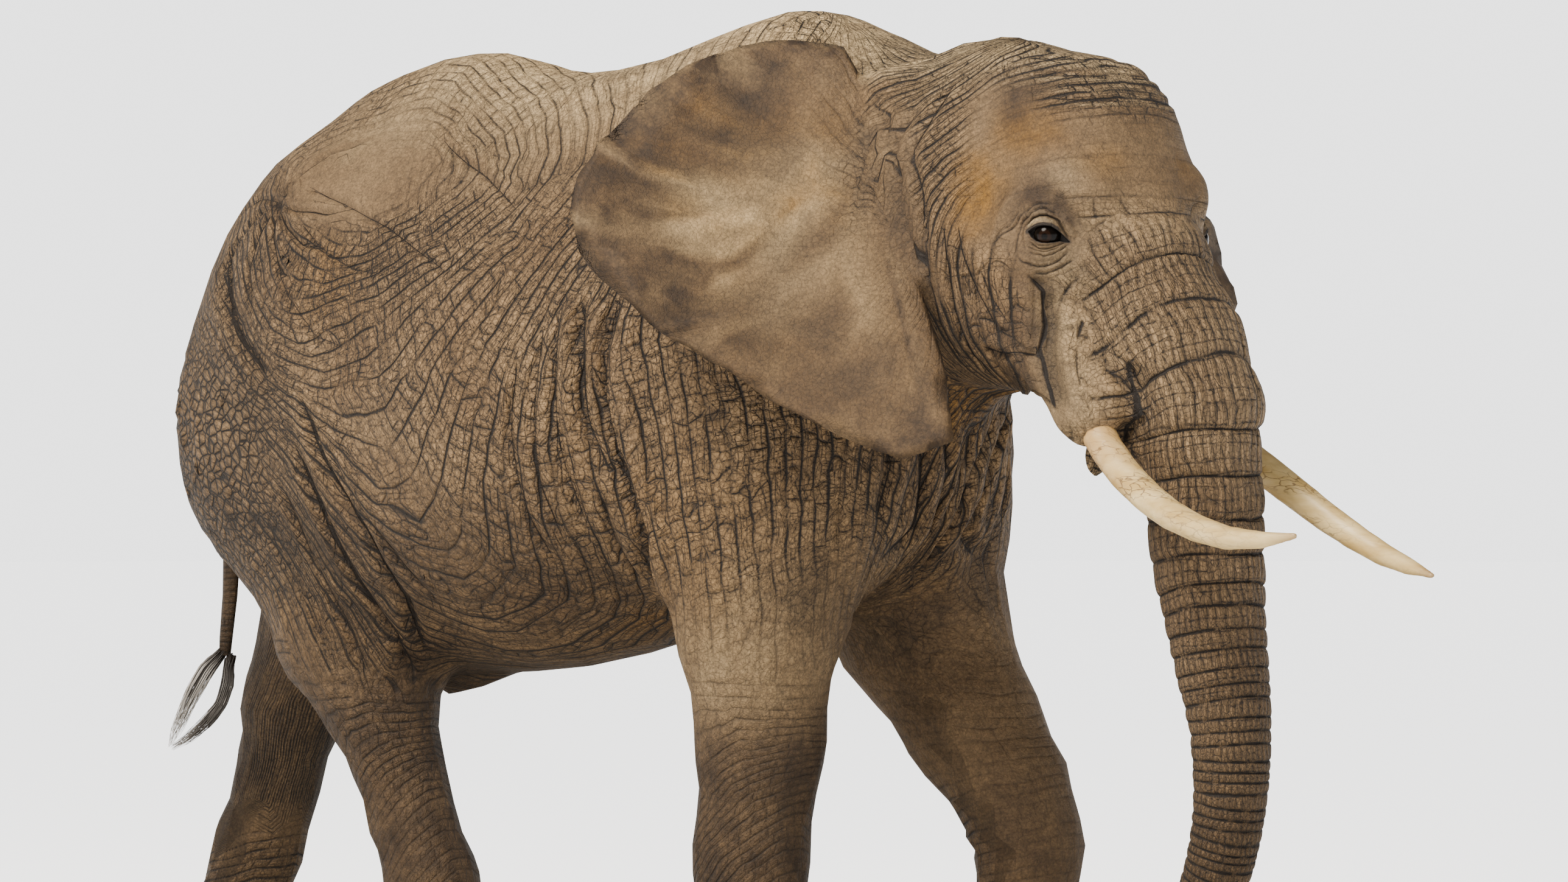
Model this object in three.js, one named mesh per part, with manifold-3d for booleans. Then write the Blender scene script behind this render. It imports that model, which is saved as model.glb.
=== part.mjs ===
// A young African bush elephant bull, life size, walking with its head turned a
// little to its right. Millimetres, +X forward, +Y to the animal's left, +Z up.
//
// The body is described as one smooth field of named ovals and tapers. Each
// fleshy node is that field made into a mesh and parted from its neighbours by
// thin cuts. Trunk, tusks and tail are sleeves swept along curves, and the ears
// are curved sheets.

import * as THREE from 'three';
import { mergeVertices } from 'three/addons/utils/BufferGeometryUtils.js';
import { MarchingCubes } from 'three/addons/objects/MarchingCubes.js';
import Module from 'manifold-3d';

const wasm = await Module();
wasm.setup();

// ---------------------------------------------------------------- dimensions

const GAP = 0.3;                 // between two nodes that touch
const RIGHT = -1;                // sign of Y on the animal's right
const LEFT = 1;
const SIDES = { right: RIGHT, left: LEFT };

const CELL = { torso: 98, neck: 76, leg: 70, head: 44, jaw: 36 };

// The head, with all that it carries, turns about an upright axis in the neck.
const HEAD_PIVOT_X = 1150;
const HEAD_TURN = THREE.MathUtils.degToRad(-15);

// Planes across the neck, in the head's frame: where, and how they lean.
const NECK_CUT = {
  torso: { x: -130, z: 2200, lean: -16, low: 1150 },
  head: { x: 215, z: 2200, lean: -14, low: 1500 },
};

// Spine and belly lines: x along the body, z of the back and of the belly, and
// half the width of the barrel.
const BARREL = [
  { x: -1100, back: 2390, belly: 1500, half: 290 },
  { x: -900, back: 2572, belly: 1290, half: 415 },
  { x: -710, back: 2650, belly: 1130, half: 500 },
  { x: -340, back: 2722, belly: 1035, half: 620 },
  { x: 0, back: 2652, belly: 1055, half: 655 },
  { x: 300, back: 2680, belly: 1125, half: 620 },
  { x: 600, back: 2755, belly: 1205, half: 550 },
  { x: 800, back: 2780, belly: 1250, half: 480 },
  { x: 1000, back: 2735, belly: 1330, half: 400 },
  { x: 1200, back: 2650, belly: 1450, half: 320 },
];
const BARREL_END = { back: -1050, front: 1120, round: 420 };

// Each leg is a row of oval sections from the body down to the floor: centre x
// and z, half the depth fore and aft, and half the width. Its cuts are planes
// that lean fore and aft by some degrees.
const LEG_Y = 295;
const LEG_SPACE = { inner: 60, outer: 660, reach: 560 };
const LEGS = {
  front_right: {
    y: RIGHT * LEG_Y,
    rows: [
      { x: 800, z: 1560, deep: 300, wide: 200 },
      { x: 795, z: 1180, deep: 215, wide: 185 },
      { x: 806, z: 880, deep: 160, wide: 155 },
      { x: 775, z: 600, deep: 140, wide: 142 },
      { x: 778, z: 300, deep: 138, wide: 142 },
      { x: 795, z: 90, deep: 188, wide: 182 },
      { x: 798, z: -60, deep: 182, wide: 176 },
    ],
    cuts: [{ x: 795, z: 1090, lean: 0 }, { x: 776, z: 590, lean: 0 }, { x: 782, z: 240, lean: 0 }],
    toe: { x: 796, deep: 188, wide: 182 },
    nails: 4,
  },
  front_left: {
    y: LEFT * LEG_Y,
    rows: [
      { x: 780, z: 1560, deep: 300, wide: 200 },
      { x: 892, z: 1166, deep: 232, wide: 190 },
      { x: 1056, z: 913, deep: 178, wide: 160 },
      { x: 1176, z: 760, deep: 146, wide: 146 },
      { x: 1236, z: 610, deep: 132, wide: 138 },
      { x: 1212, z: 300, deep: 130, wide: 136 },
      { x: 1210, z: 90, deep: 184, wide: 180 },
      { x: 1210, z: -60, deep: 178, wide: 174 },
    ],
    cuts: [{ x: 930, z: 1080, lean: -24 }, { x: 1236, z: 590, lean: -10 }, { x: 1212, z: 240, lean: 0 }],
    toe: { x: 1210, deep: 184, wide: 180 },
    nails: 4,
  },
  hind_right: {
    y: RIGHT * LEG_Y,
    rows: [
      { x: -640, z: 1620, deep: 380, wide: 240 },
      { x: -570, z: 1130, deep: 235, wide: 190 },
      { x: -495, z: 950, deep: 152, wide: 150 },
      { x: -424, z: 780, deep: 108, wide: 122 },
      { x: -380, z: 650, deep: 108, wide: 115 },
      { x: -310, z: 480, deep: 122, wide: 122 },
      { x: -245, z: 250, deep: 122, wide: 126 },
      { x: -195, z: 80, deep: 182, wide: 158 },
      { x: -190, z: -60, deep: 176, wide: 152 },
    ],
    cuts: [{ x: -570, z: 1080, lean: 12 }, { x: -318, z: 500, lean: -20 }, { x: -240, z: 235, lean: -8 }],
    toe: { x: -193, deep: 182, wide: 158 },
    nails: 3,
  },
  hind_left: {
    y: LEFT * LEG_Y,
    rows: [
      { x: -760, z: 1640, deep: 380, wide: 240 },
      { x: -1150, z: 1220, deep: 260, wide: 195 },
      { x: -1340, z: 900, deep: 145, wide: 145 },
      { x: -1405, z: 663, deep: 116, wide: 118 },
      { x: -1480, z: 480, deep: 128, wide: 124 },
      { x: -1575, z: 250, deep: 122, wide: 126 },
      { x: -1590, z: 80, deep: 182, wide: 158 },
      { x: -1590, z: -60, deep: 176, wide: 152 },
    ],
    cuts: [{ x: -1150, z: 1160, lean: 24 }, { x: -1480, z: 480, lean: 20 }, { x: -1576, z: 235, lean: 4 }],
    toe: { x: -1590, deep: 182, wide: 158 },
    nails: 3,
  },
};

const NAIL = { wide: 56, high: 44, thick: 30, z: 56, spread: 35, sunk: 12 };

const EYE = { x: 714, z: 2158, radius: 34 };
const LID = { thick: 9, sunk: 0.5 };

// Trunk: centre line in the head's own frame, with half depth and half width.
const TRUNK = [
  { x: 915, z: 1900, deep: 152, wide: 170 },
  { x: 985, z: 1740, deep: 142, wide: 150 },
  { x: 1012, z: 1560, deep: 144, wide: 148 },
  { x: 1022, z: 1400, deep: 140, wide: 145 },
  { x: 1062, z: 1180, deep: 118, wide: 124 },
  { x: 1106, z: 960, deep: 97, wide: 104 },
  { x: 1100, z: 760, deep: 86, wide: 92 },
  { x: 1048, z: 590, deep: 80, wide: 85 },
  { x: 950, z: 430, deep: 74, wide: 80 },
  { x: 812, z: 320, deep: 68, wide: 76 },
  { x: 680, z: 300, deep: 58, wide: 70 },
];
const TRUNK_CUT = { z: 1700, x: 868 };    // where the trunk leaves the head
const TRUNK_PARTS = 4;
const TRUNK_MESH = { sides: 18, rings: 13 };
const TRUNK_FOLD = 0.965;        // size of every other ring, a crease
const TRUNK_SWELL = { more: 15, until: 0.16 };   // thicker where it leaves the head
const NOSTRIL = { radius: 17, apart: 27, deep: 90 };

// Tusks: centre line in the head's frame, the near one on the right.
const TUSKS = {
  right: [
    [650, -150, 1850], [800, -182, 1712], [970, -226, 1584],
    [1215, -270, 1474], [1446, -286, 1428], [1622, -268, 1440],
  ],
  left: [
    [640, 150, 1830], [800, 196, 1700], [955, 250, 1590],
    [1157, 288, 1463], [1330, 298, 1382], [1522, 270, 1337],
  ],
};
const TUSK_RADIUS = { root: 47, tip: 6 };

// Ears: the sheet's outline, "out" from the line of its root and "up" along it.
const EAR_OUTLINE = [
  [-30, 500], [10, 660], [160, 728], [310, 722], [475, 660], [620, 552],
  [730, 448], [800, 310], [796, 185], [738, 60], [635, -66], [502, -175],
  [371, -304], [240, -431], [120, -509], [20, -540], [-24, -490],
  [-38, -360], [-38, -186], [-26, 20], [-28, 180], [-42, 346],
];
const EAR_ROOT = { top: [100, 330, 2550], low: [600, 450, 1625] };
const EAR_SPREAD = { right: 61, left: 66 };      // degrees from the head's axis
const EAR_MIDDLE = [290, 110];   // the outline is seen whole from here
const EAR_THICK = { root: 34, rim: 10 };
const EAR_SHAPE = { swell: 70, curl: 95, wave: 9, waves: 9 };

// The mouth: a slit that slopes down to the front, over the jaw.
const MOUTH = { x: 600, z: 1815, lean: 25, slit: 11, corner: 545 };
const JAW_SPACE = { back: 340, wide: 215, throat: 605, lip: 88, low: 1450, front: 800 };

// Tail: centre line in the middle plane.
const TAIL = [
  { x: -900, z: 2360, radius: 85 },
  { x: -1085, z: 2240, radius: 72 },
  { x: -1205, z: 2030, radius: 55 },
  { x: -1275, z: 1760, radius: 42 },
  { x: -1300, z: 1490, radius: 32 },
  { x: -1316, z: 1240, radius: 25 },
  { x: -1340, z: 1040, radius: 21 },
];
const TUFT = { locks: 14, length: 255, wide: 30, thick: 9, core: 95 };

// -------------------------------------------------------------- field helpers

const lerp = THREE.MathUtils.lerp;

function blend(reach, a, b) {
  const near = Math.max(reach - Math.abs(a - b), 0) / reach;
  return Math.min(a, b) - near * near * reach * 0.25;
}

function blendAll(reach, values) {
  return values.reduce((sum, value) => blend(reach, sum, value));
}

function hollow(reach, body, dent) {
  return -blend(reach, -body, dent);
}

// Distance to an oval: centre c and radii r are [x, y, z].
function oval(p, c, r) {
  const x = p.x - c[0];
  const y = p.y - c[1];
  const z = p.z - c[2];
  const near = Math.hypot(x / r[0], y / r[1], z / r[2]);
  const slope = Math.hypot(x / r[0] ** 2, y / r[1] ** 2, z / r[2] ** 2);
  return near < 1e-6 ? -Math.min(...r) : near * (near - 1) / slope;
}

// Distance to a round taper from a to b with end radii ra and rb.
function taper(p, a, b, ra, rb) {
  const dx = b[0] - a[0];
  const dy = b[1] - a[1];
  const dz = b[2] - a[2];
  const along = (p.x - a[0]) * dx + (p.y - a[1]) * dy + (p.z - a[2]) * dz;
  const t = THREE.MathUtils.clamp(along / (dx * dx + dy * dy + dz * dz), 0, 1);
  const away = Math.hypot(p.x - a[0] - dx * t, p.y - a[1] - dy * t, p.z - a[2] - dz * t);
  return away - lerp(ra, rb, t);
}

// Distance to an oval sleeve between two rows of an upright limb at y.
function sleeve(p, y, a, b) {
  const dx = b.x - a.x;
  const dz = b.z - a.z;
  const length = Math.hypot(dx, dz);
  const along = ((p.x - a.x) * dx + (p.z - a.z) * dz) / length;
  const t = THREE.MathUtils.clamp(along / length, 0, 1);
  const across = ((p.x - a.x) * dz - (p.z - a.z) * dx) / length;
  const deep = lerp(a.deep, b.deep, t);
  const wide = lerp(a.wide, b.wide, t);
  const past = along - length * t;
  const least = Math.min(deep, wide);
  return (Math.hypot(across / deep, (p.y - y) / wide, past / least) - 1) * least;
}

function limb(p, y, rows, reach) {
  let near = sleeve(p, y, rows[0], rows[1]);
  for (let i = 1; i < rows.length - 1; i += 1) {
    near = blend(reach, near, sleeve(p, y, rows[i], rows[i + 1]));
  }
  return near;
}

// A smooth line through rows of named values, read at x.
function profile(rows, name, x) {
  const last = rows.length - 1;
  const at = THREE.MathUtils.clamp(x, rows[0].x, rows[last].x);
  let i = 0;
  while (i < last - 1 && rows[i + 1].x < at) i += 1;
  const value = (k) => rows[THREE.MathUtils.clamp(k, 0, last)];
  const span = value(i + 1).x - value(i).x;
  const slope = (k) => (value(k + 1)[name] - value(k - 1)[name]) / (value(k + 1).x - value(k - 1).x);
  const t = (at - value(i).x) / span;
  const from = value(i)[name];
  const to = value(i + 1)[name];
  const rise = slope(i) * span;
  const fall = slope(i + 1) * span;
  return from * (1 + 2 * t) * (1 - t) ** 2 + rise * t * (1 - t) ** 2
    + to * t * t * (3 - 2 * t) - fall * t * t * (1 - t);
}

// ------------------------------------------------------------- the body field

const turnCos = Math.cos(HEAD_TURN);
const turnSin = Math.sin(HEAD_TURN);

function toHead(p) {
  const x = p.x - HEAD_PIVOT_X;
  return { x: x * turnCos + p.y * turnSin, y: p.y * turnCos - x * turnSin, z: p.z };
}

function barrel(p) {
  const back = profile(BARREL, 'back', p.x);
  const belly = profile(BARREL, 'belly', p.x);
  const half = profile(BARREL, 'half', p.x);
  const middle = (back + belly) / 2;
  const high = (back - belly) / 2;
  const up = (p.z - middle) / high;
  const width = half * (1 - 0.2 * THREE.MathUtils.clamp(up + 0.15, -1, 1));
  const section = (Math.hypot(p.y / width, up) - 1) * Math.min(half, high) * 0.95;
  const front = p.x - BARREL_END.front;
  const rear = BARREL_END.back - p.x;
  return -blend(BARREL_END.round, -blendMax(section, front), -rear);
}

function blendMax(a, b) {
  return -blend(BARREL_END.round, -a, -b);
}

function mirrored(p) {
  return { x: p.x, y: Math.abs(p.y), z: p.z };
}

function shoulders(p) {
  const side = mirrored(p);
  return blend(120,
    oval(side, [745, 270, 1930], [310, 255, 620]),
    oval(side, [860, 240, 1560], [290, 255, 330]));
}

function haunches(p) {
  const side = mirrored(p);
  return blend(160,
    oval(side, [-610, 260, 1880], [520, 300, 600]),
    oval(side, [-800, 255, 1650], [390, 270, 420]));
}

function brisket(p) {
  return oval(p, [940, 0, 1650], [285, 370, 300]);
}

function sheathOfLoins(p) {
  return oval(p, [-455, 0, 1040], [125, 72, 86]);
}

// The next four fields are read in the head's own frame.
function neckField(q) {
  const upper = taper(q, [-420, 0, 2290], [180, 0, 2290], 420, 325);
  const lower = taper(q, [-320, 0, 1960], [250, 0, 2100], 330, 285);
  return blend(160, upper, lower);
}

function skullField(q) {
  const side = mirrored(q);
  const skull = blendAll(110, [
    oval(side, [320, 0, 2330], [330, 295, 330]),
    oval(side, [565, 62, 2372], [222, 180, 236]),
    oval(side, [470, 150, 2130], [300, 170, 260]),
    taper(side, [420, 110, 1990], [560, 110, 1930], 185, 120),
  ]);
  const nose = blendAll(60, [
    taper(side, [610, 0, 2330], [755, 0, 2060], 198, 182),
    taper(side, [755, 0, 2060], [880, 0, 1880], 182, 160),
    sleeve(q, 0, TRUNK[0], TRUNK[1]),
    sleeve(q, 0, TRUNK[1], TRUNK[2]),
  ]);
  const sheath = taper(side, [600, 150, 2010], [800, 183, 1725], 130, 86);
  const brow = taper(side, [640, 215, 2270], [780, 165, 2260], 60, 52);
  const cheekbone = taper(side, [480, 255, 2130], [660, 240, 2090], 75, 60);
  const earBase = taper(side, [130, 265, 2510], [330, 300, 2080], 80, 66);
  const whole = blendAll(70, [skull, nose, sheath, brow, cheekbone, earBase]);
  return hollow(60, whole, oval(side, [560, 335, 2300], [120, 60, 110]));
}

function jawField(q) {
  const side = mirrored(q);
  return blendAll(50, [
    taper(side, [330, 110, 1985], [500, 60, 1888], 122, 92),
    taper(side, [500, 30, 1880], [640, 0, 1770], 86, 54),
    taper(side, [640, 0, 1770], [672, 0, 1640], 48, 27),
  ]);
}

function frontField(q) {
  return blend(150, neckField(q), blend(60, skullField(q), jawField(q)));
}

function legField(p, leg) {
  return limb(p, leg.y, leg.rows, 55);
}

function torsoField(p) {
  const trunkOfBody = blendAll(150, [barrel(p), shoulders(p), haunches(p), brisket(p)]);
  const legs = Object.values(LEGS).map((leg) => legField(p, leg));
  const stance = blend(110, trunkOfBody, Math.min(...legs));
  return blend(60, stance, sheathOfLoins(p));
}

function bodyField(p) {
  return blend(160, torsoField(p), frontField(toHead(p)));
}

function bodyFieldFromHead(q) {
  return bodyField(headPoint(q.x, q.y, q.z));
}

// -------------------------------------------------------------------- meshing

// Turns the zero surface of a field inside a box into a closed geometry.
function surfaceOf(field, low, high, cell) {
  const size = Math.max(high[0] - low[0], high[1] - low[1], high[2] - low[2]);
  const resolution = Math.ceil(size / cell) + 6;
  const cubes = new MarchingCubes(resolution, new THREE.MeshStandardMaterial(), false, false, 60000);
  const origin = low.map((value) => value - 2 * cell);
  const place = (i, j, k) => ({
    x: origin[0] + i * cell, y: origin[1] + j * cell, z: origin[2] + k * cell,
  });
  const inside = (p) => Math.max(
    low[0] - p.x, p.x - high[0], low[1] - p.y, p.y - high[1], low[2] - p.z, p.z - high[2],
    field(p),
  );
  const snap = 0.2 * cell;
  for (let k = 0; k < resolution; k += 1) {
    for (let j = 0; j < resolution; j += 1) {
      for (let i = 0; i < resolution; i += 1) {
        const value = -inside(place(i, j, k));
        const settled = Math.abs(value) < snap ? 0.01 : value;
        cubes.field[i + resolution * (j + resolution * k)] = settled;
      }
    }
  }
  cubes.isolation = 0;
  cubes.update();
  const points = cubes.positionArray.slice(0, cubes.count * 3);
  const half = resolution / 2;
  for (let i = 0; i < points.length; i += 1) {
    points[i] = origin[i % 3] + (points[i] * half + half) * cell;
  }
  const geometry = new THREE.BufferGeometry();
  geometry.setAttribute('position', new THREE.BufferAttribute(points, 3));
  const merged = mergeVertices(geometry, 0.02 * cell);
  settle(merged, inside, cell);
  return merged;
}

// Moves every vertex onto the zero surface of the field.
function settle(geometry, field, cell) {
  const position = geometry.attributes.position;
  const step = 1;
  for (let i = 0; i < position.count; i += 1) {
    const p = { x: position.getX(i), y: position.getY(i), z: position.getZ(i) };
    for (let turn = 0; turn < 4; turn += 1) {
      const value = field(p);
      const gx = field({ x: p.x + step, y: p.y, z: p.z }) - value;
      const gy = field({ x: p.x, y: p.y + step, z: p.z }) - value;
      const gz = field({ x: p.x, y: p.y, z: p.z + step }) - value;
      const slope = Math.max(gx * gx + gy * gy + gz * gz, 0.05);
      const move = THREE.MathUtils.clamp(value / slope, -0.25 * cell, 0.25 * cell);
      p.x -= gx * move;
      p.y -= gy * move;
      p.z -= gz * move;
    }
    position.setXYZ(i, p.x, p.y, p.z);
  }
}

// --------------------------------------------------------------------- solids

function solidOf(geometry) {
  const bare = geometry.clone();
  bare.deleteAttribute('normal');
  bare.deleteAttribute('uv');
  const merged = mergeVertices(bare, 1e-3);
  const index = merged.index.array;
  const faces = [];
  for (let i = 0; i < index.length; i += 3) {
    const flat = index[i] === index[i + 1] || index[i + 1] === index[i + 2] || index[i] === index[i + 2];
    if (!flat) faces.push(index[i], index[i + 1], index[i + 2]);
  }
  return new wasm.Manifold(new wasm.Mesh({
    numProp: 3,
    vertProperties: new Float32Array(merged.attributes.position.array),
    triVerts: new Uint32Array(faces),
  }));
}

function geometryOf(solid) {
  const mesh = solid.getMesh();
  const geometry = new THREE.BufferGeometry();
  geometry.setAttribute('position', new THREE.BufferAttribute(new Float32Array(mesh.vertProperties), 3));
  geometry.setIndex(new THREE.BufferAttribute(new Uint32Array(mesh.triVerts), 1));
  geometry.computeVertexNormals();
  return geometry;
}

function largest(solid) {
  return solid.decompose().reduce((most, piece) => (piece.volume() > most.volume() ? piece : most));
}

// The same solid with each vertex moved out by the gap between nodes.
function grown(solid, by = GAP * 1.4) {
  const geometry = geometryOf(solid);
  const { position, normal } = geometry.attributes;
  for (let i = 0; i < position.count; i += 1) {
    position.setXYZ(
      i,
      position.getX(i) + normal.getX(i) * by,
      position.getY(i) + normal.getY(i) * by,
      position.getZ(i) + normal.getZ(i) * by,
    );
  }
  return solidOf(geometry);
}

// A block from low to high, leaning in the XZ plane about a point.
function block(low, high, about = null, lean = 0) {
  const size = high.map((value, i) => value - low[i]);
  const geometry = new THREE.BoxGeometry(...size);
  geometry.translate(...low.map((value, i) => value + size[i] / 2));
  if (about) {
    geometry.translate(-about[0], -about[1], -about[2]);
    geometry.rotateY(THREE.MathUtils.degToRad(lean));
    geometry.translate(...about);
  }
  return solidOf(geometry);
}

function turnedWithHead(geometry) {
  geometry.rotateZ(HEAD_TURN);
  geometry.translate(HEAD_PIVOT_X, 0, 0);
  return geometry;
}

function headPoint(x, y, z) {
  return new THREE.Vector3(
    HEAD_PIVOT_X + x * turnCos - y * turnSin,
    x * turnSin + y * turnCos,
    z,
  );
}

function headSolid(solid) {
  return solidOf(turnedWithHead(geometryOf(solid)));
}

const FAR = 4000;

// ----------------------------------------------------------------- swept forms

// A closed sleeve along part of a curve: a cylinder's rings are set across the
// curve, each an oval whose half width and half depth come from size(t, ring).
function swept(curve, { rings, sides, size, from = 0, to = 1, side = [0, 1, 0] }) {
  const geometry = new THREE.CylinderGeometry(1, 1, 1, sides, rings);
  const position = geometry.attributes.position;
  const sideways = new THREE.Vector3(...side);
  for (let i = 0; i < position.count; i += 1) {
    const part = THREE.MathUtils.clamp(0.5 - position.getY(i), 0, 1);
    const t = lerp(from, to, part);
    const centre = curve.getPointAt(t);
    const onward = curve.getTangentAt(t);
    const across = sideways.clone().addScaledVector(onward, -sideways.dot(onward)).normalize();
    const fore = new THREE.Vector3().crossVectors(onward, across);
    const [wide, deep] = size(t, Math.round(part * rings));
    centre.addScaledVector(across, position.getX(i) * wide);
    centre.addScaledVector(fore, position.getZ(i) * deep);
    position.setXYZ(i, centre.x, centre.y, centre.z);
  }
  return geometry;
}

function curveThrough(points) {
  return new THREE.CatmullRomCurve3(points.map((point) => new THREE.Vector3(...point)));
}

function midlineCurve(rows) {
  return curveThrough(rows.map((row) => [row.x, 0, row.z]));
}

// A named value of the curve's rows, read smoothly at t from 0 to 1.
function rowValue(curve, rows, name, t) {
  const at = curve.getUtoTmapping(t) * (rows.length - 1);
  const i = Math.min(Math.floor(at), rows.length - 2);
  return lerp(rows[i][name], rows[i + 1][name], at - i);
}

// A round roll along points, with ends that thin out.
function roll(points, radius, rings = 6, sides = 6) {
  const curve = curveThrough(points);
  const size = (t) => {
    const r = radius * (0.35 + 0.65 * Math.sin(Math.PI * t));
    return [r, r];
  };
  return solidOf(swept(curve, { rings, sides, size }));
}

// ------------------------------------------------------------------ the nodes

const FLESH = { color: 0x85786a, roughness: 0.9, metalness: 0 };
const IVORY = { color: 0xe6dcc4, roughness: 0.45, metalness: 0 };
const NAIL_HORN = { color: 0xb5a58c, roughness: 0.6, metalness: 0 };
const EYE_GLOSS = { color: 0x20160f, roughness: 0.15, metalness: 0 };
const BRISTLE = { color: 0x3a332c, roughness: 0.8, metalness: 0 };

const elephant = new THREE.Group();

function node(name, solid, look) {
  const whole = largest(solid);
  const mesh = new THREE.Mesh(geometryOf(whole), new THREE.MeshStandardMaterial(look));
  mesh.name = name;
  elephant.add(mesh);
  return whole;
}

// ------------------------------------------------------------------- the legs

// All that lies below a leg's cut, lowered by the gap where asked.
function below(leg, cut, lowered = 0) {
  const inner = Math.sign(leg.y) * LEG_SPACE.inner;
  const outer = Math.sign(leg.y) * LEG_SPACE.outer;
  return block(
    [cut.x - LEG_SPACE.reach, Math.min(inner, outer), cut.z - FAR - lowered],
    [cut.x + LEG_SPACE.reach, Math.max(inner, outer), cut.z - lowered],
    [cut.x, leg.y, cut.z],
    cut.lean,
  );
}

const floor = block([-FAR, -FAR, -FAR], [FAR, FAR, 0]);

function legFlesh(leg) {
  const [hip] = leg.cuts;
  const margin = 60;
  const rows = leg.rows.slice(1);
  const low = [
    Math.min(...rows.map((row) => row.x - row.deep)) - margin, leg.y - 330, -20,
  ];
  const high = [
    Math.max(...rows.map((row) => row.x + row.deep)) + margin, leg.y + 330, hip.z + 330,
  ];
  return solidOf(surfaceOf(torsoField, low, high, CELL.leg)).subtract(floor);
}

function makeNails(name, leg, foot) {
  const skin = grown(foot);
  for (let i = 0; i < leg.nails; i += 1) {
    const angle = THREE.MathUtils.degToRad((i - (leg.nails - 1) / 2) * NAIL.spread);
    const geometry = new THREE.SphereGeometry(1, 7, 5);
    geometry.rotateX(Math.PI / 2);
    geometry.scale(NAIL.thick, NAIL.wide, NAIL.high);
    geometry.rotateZ(angle);
    geometry.translate(
      leg.toe.x + leg.toe.deep * Math.cos(angle) - NAIL.sunk,
      leg.y + leg.toe.wide * Math.sin(angle),
      NAIL.z,
    );
    node(`nail_${name}_${i + 1}`, solidOf(geometry).subtract(skin), NAIL_HORN);
  }
}

function makeLeg(name, leg) {
  const [hip, knee, ankle] = leg.cuts;
  const flesh = legFlesh(leg);
  node(`leg_${name}_upper`, flesh.intersect(below(leg, hip, GAP)).subtract(below(leg, knee)), FLESH);
  node(`leg_${name}_lower`, flesh.intersect(below(leg, knee, GAP)).subtract(below(leg, ankle)), FLESH);
  const foot = node(`leg_${name}_foot`, flesh.intersect(below(leg, ankle, GAP)), FLESH);
  makeNails(name, leg, foot);
  return below(leg, hip);
}

const legSpaces = Object.entries(LEGS).map(([name, leg]) => makeLeg(name, leg));

function clearOfLegs(solid) {
  return legSpaces.reduce((rest, space) => rest.subtract(space), solid);
}

// ------------------------------------------------------------ torso and neck

// All that lies ahead of a plane across the neck, moved on by the gap.
function ahead(cut, moved = 0) {
  return headSolid(block(
    [cut.x + moved, -FAR, cut.low], [FAR, FAR, FAR], [cut.x, 0, cut.z], cut.lean,
  ));
}

function makeTorso() {
  const flesh = solidOf(surfaceOf(bodyField, [-1650, -900, 850], [1500, 900, 2900], CELL.torso));
  return node('torso', clearOfLegs(flesh.subtract(ahead(NECK_CUT.torso))), FLESH);
}

function makeNeck() {
  const flesh = solidOf(surfaceOf(bodyField, [700, -760, 1250], [1850, 760, 2900], CELL.neck));
  const part = flesh.intersect(ahead(NECK_CUT.torso, GAP)).subtract(ahead(NECK_CUT.head));
  return node('neck', clearOfLegs(part), FLESH);
}

const torso = makeTorso();
const neck = makeNeck();

// ------------------------------------------------------------ head and jaw

// Head pieces are made in the head's own frame and then turned with it.
function headFlesh(low, high, cell) {
  return solidOf(surfaceOf(bodyFieldFromHead, low, high, cell));
}

// Y of the skin at a place on the side of the head.
function skinY(x, z) {
  let near = 0;
  let far = 600;
  for (let turn = 0; turn < 24; turn += 1) {
    const y = (near + far) / 2;
    if (bodyFieldFromHead({ x, y, z }) < 0) near = y;
    else far = y;
  }
  return near;
}

const eyeY = skinY(EYE.x, EYE.z) - EYE.radius * LID.sunk;

function eyeball(side, radius) {
  const geometry = new THREE.SphereGeometry(radius, 10, 6);
  geometry.rotateX(Math.PI / 2);
  geometry.translate(EYE.x, side * eyeY, EYE.z);
  return solidOf(geometry);
}

// A lid is a roll that arches over or under the eyeball and turns in at its ends.
function lid(side, rise) {
  const points = [-1, -0.6, 0, 0.6, 1].map((across) => {
    const bend = Math.sqrt(1 - across * across * 0.8);
    return [
      EYE.x + across * EYE.radius * 1.35,
      side * (eyeY + EYE.radius * (0.95 * bend - 0.25)),
      EYE.z + rise * EYE.radius * bend - EYE.radius * 0.25 * across,
    ];
  });
  return roll(points, LID.thick, 8, 6);
}

function jawSpace(gap) {
  const about = [MOUTH.x, 0, MOUTH.z];
  const rear = block(
    [JAW_SPACE.back + gap, -JAW_SPACE.wide + gap, JAW_SPACE.low],
    [JAW_SPACE.throat - gap, JAW_SPACE.wide - gap, MOUTH.z - gap], about, MOUTH.lean,
  );
  const lip = block(
    [JAW_SPACE.back + gap, -JAW_SPACE.lip + gap, JAW_SPACE.low],
    [JAW_SPACE.front, JAW_SPACE.lip - gap, MOUTH.z - gap], about, MOUTH.lean,
  );
  return rear.add(lip);
}

function makeHead() {
  let head = headFlesh([80, -430, 1560], [1260, 430, 2760], CELL.head);
  const trunkSpace = block([TRUNK_CUT.x, -FAR, -FAR], [FAR, FAR, TRUNK_CUT.z]);
  head = largest(head.subtract(trunkSpace).subtract(jawSpace(0)));
  for (const side of Object.values(SIDES)) {
    head = head.add(lid(side, 1)).add(lid(side, -1));
    head = head.subtract(eyeball(side, EYE.radius + GAP));
    const lip = [[555, 128, 1872], [640, 112, 1822], [720, 104, 1780]];
    head = head.add(roll(lip.map(([x, y, z]) => [x, side * y, z]), 17));
  }
  const whole = headSolid(largest(head)).intersect(ahead(NECK_CUT.head, GAP));
  return node('head', whole, FLESH);
}

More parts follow.
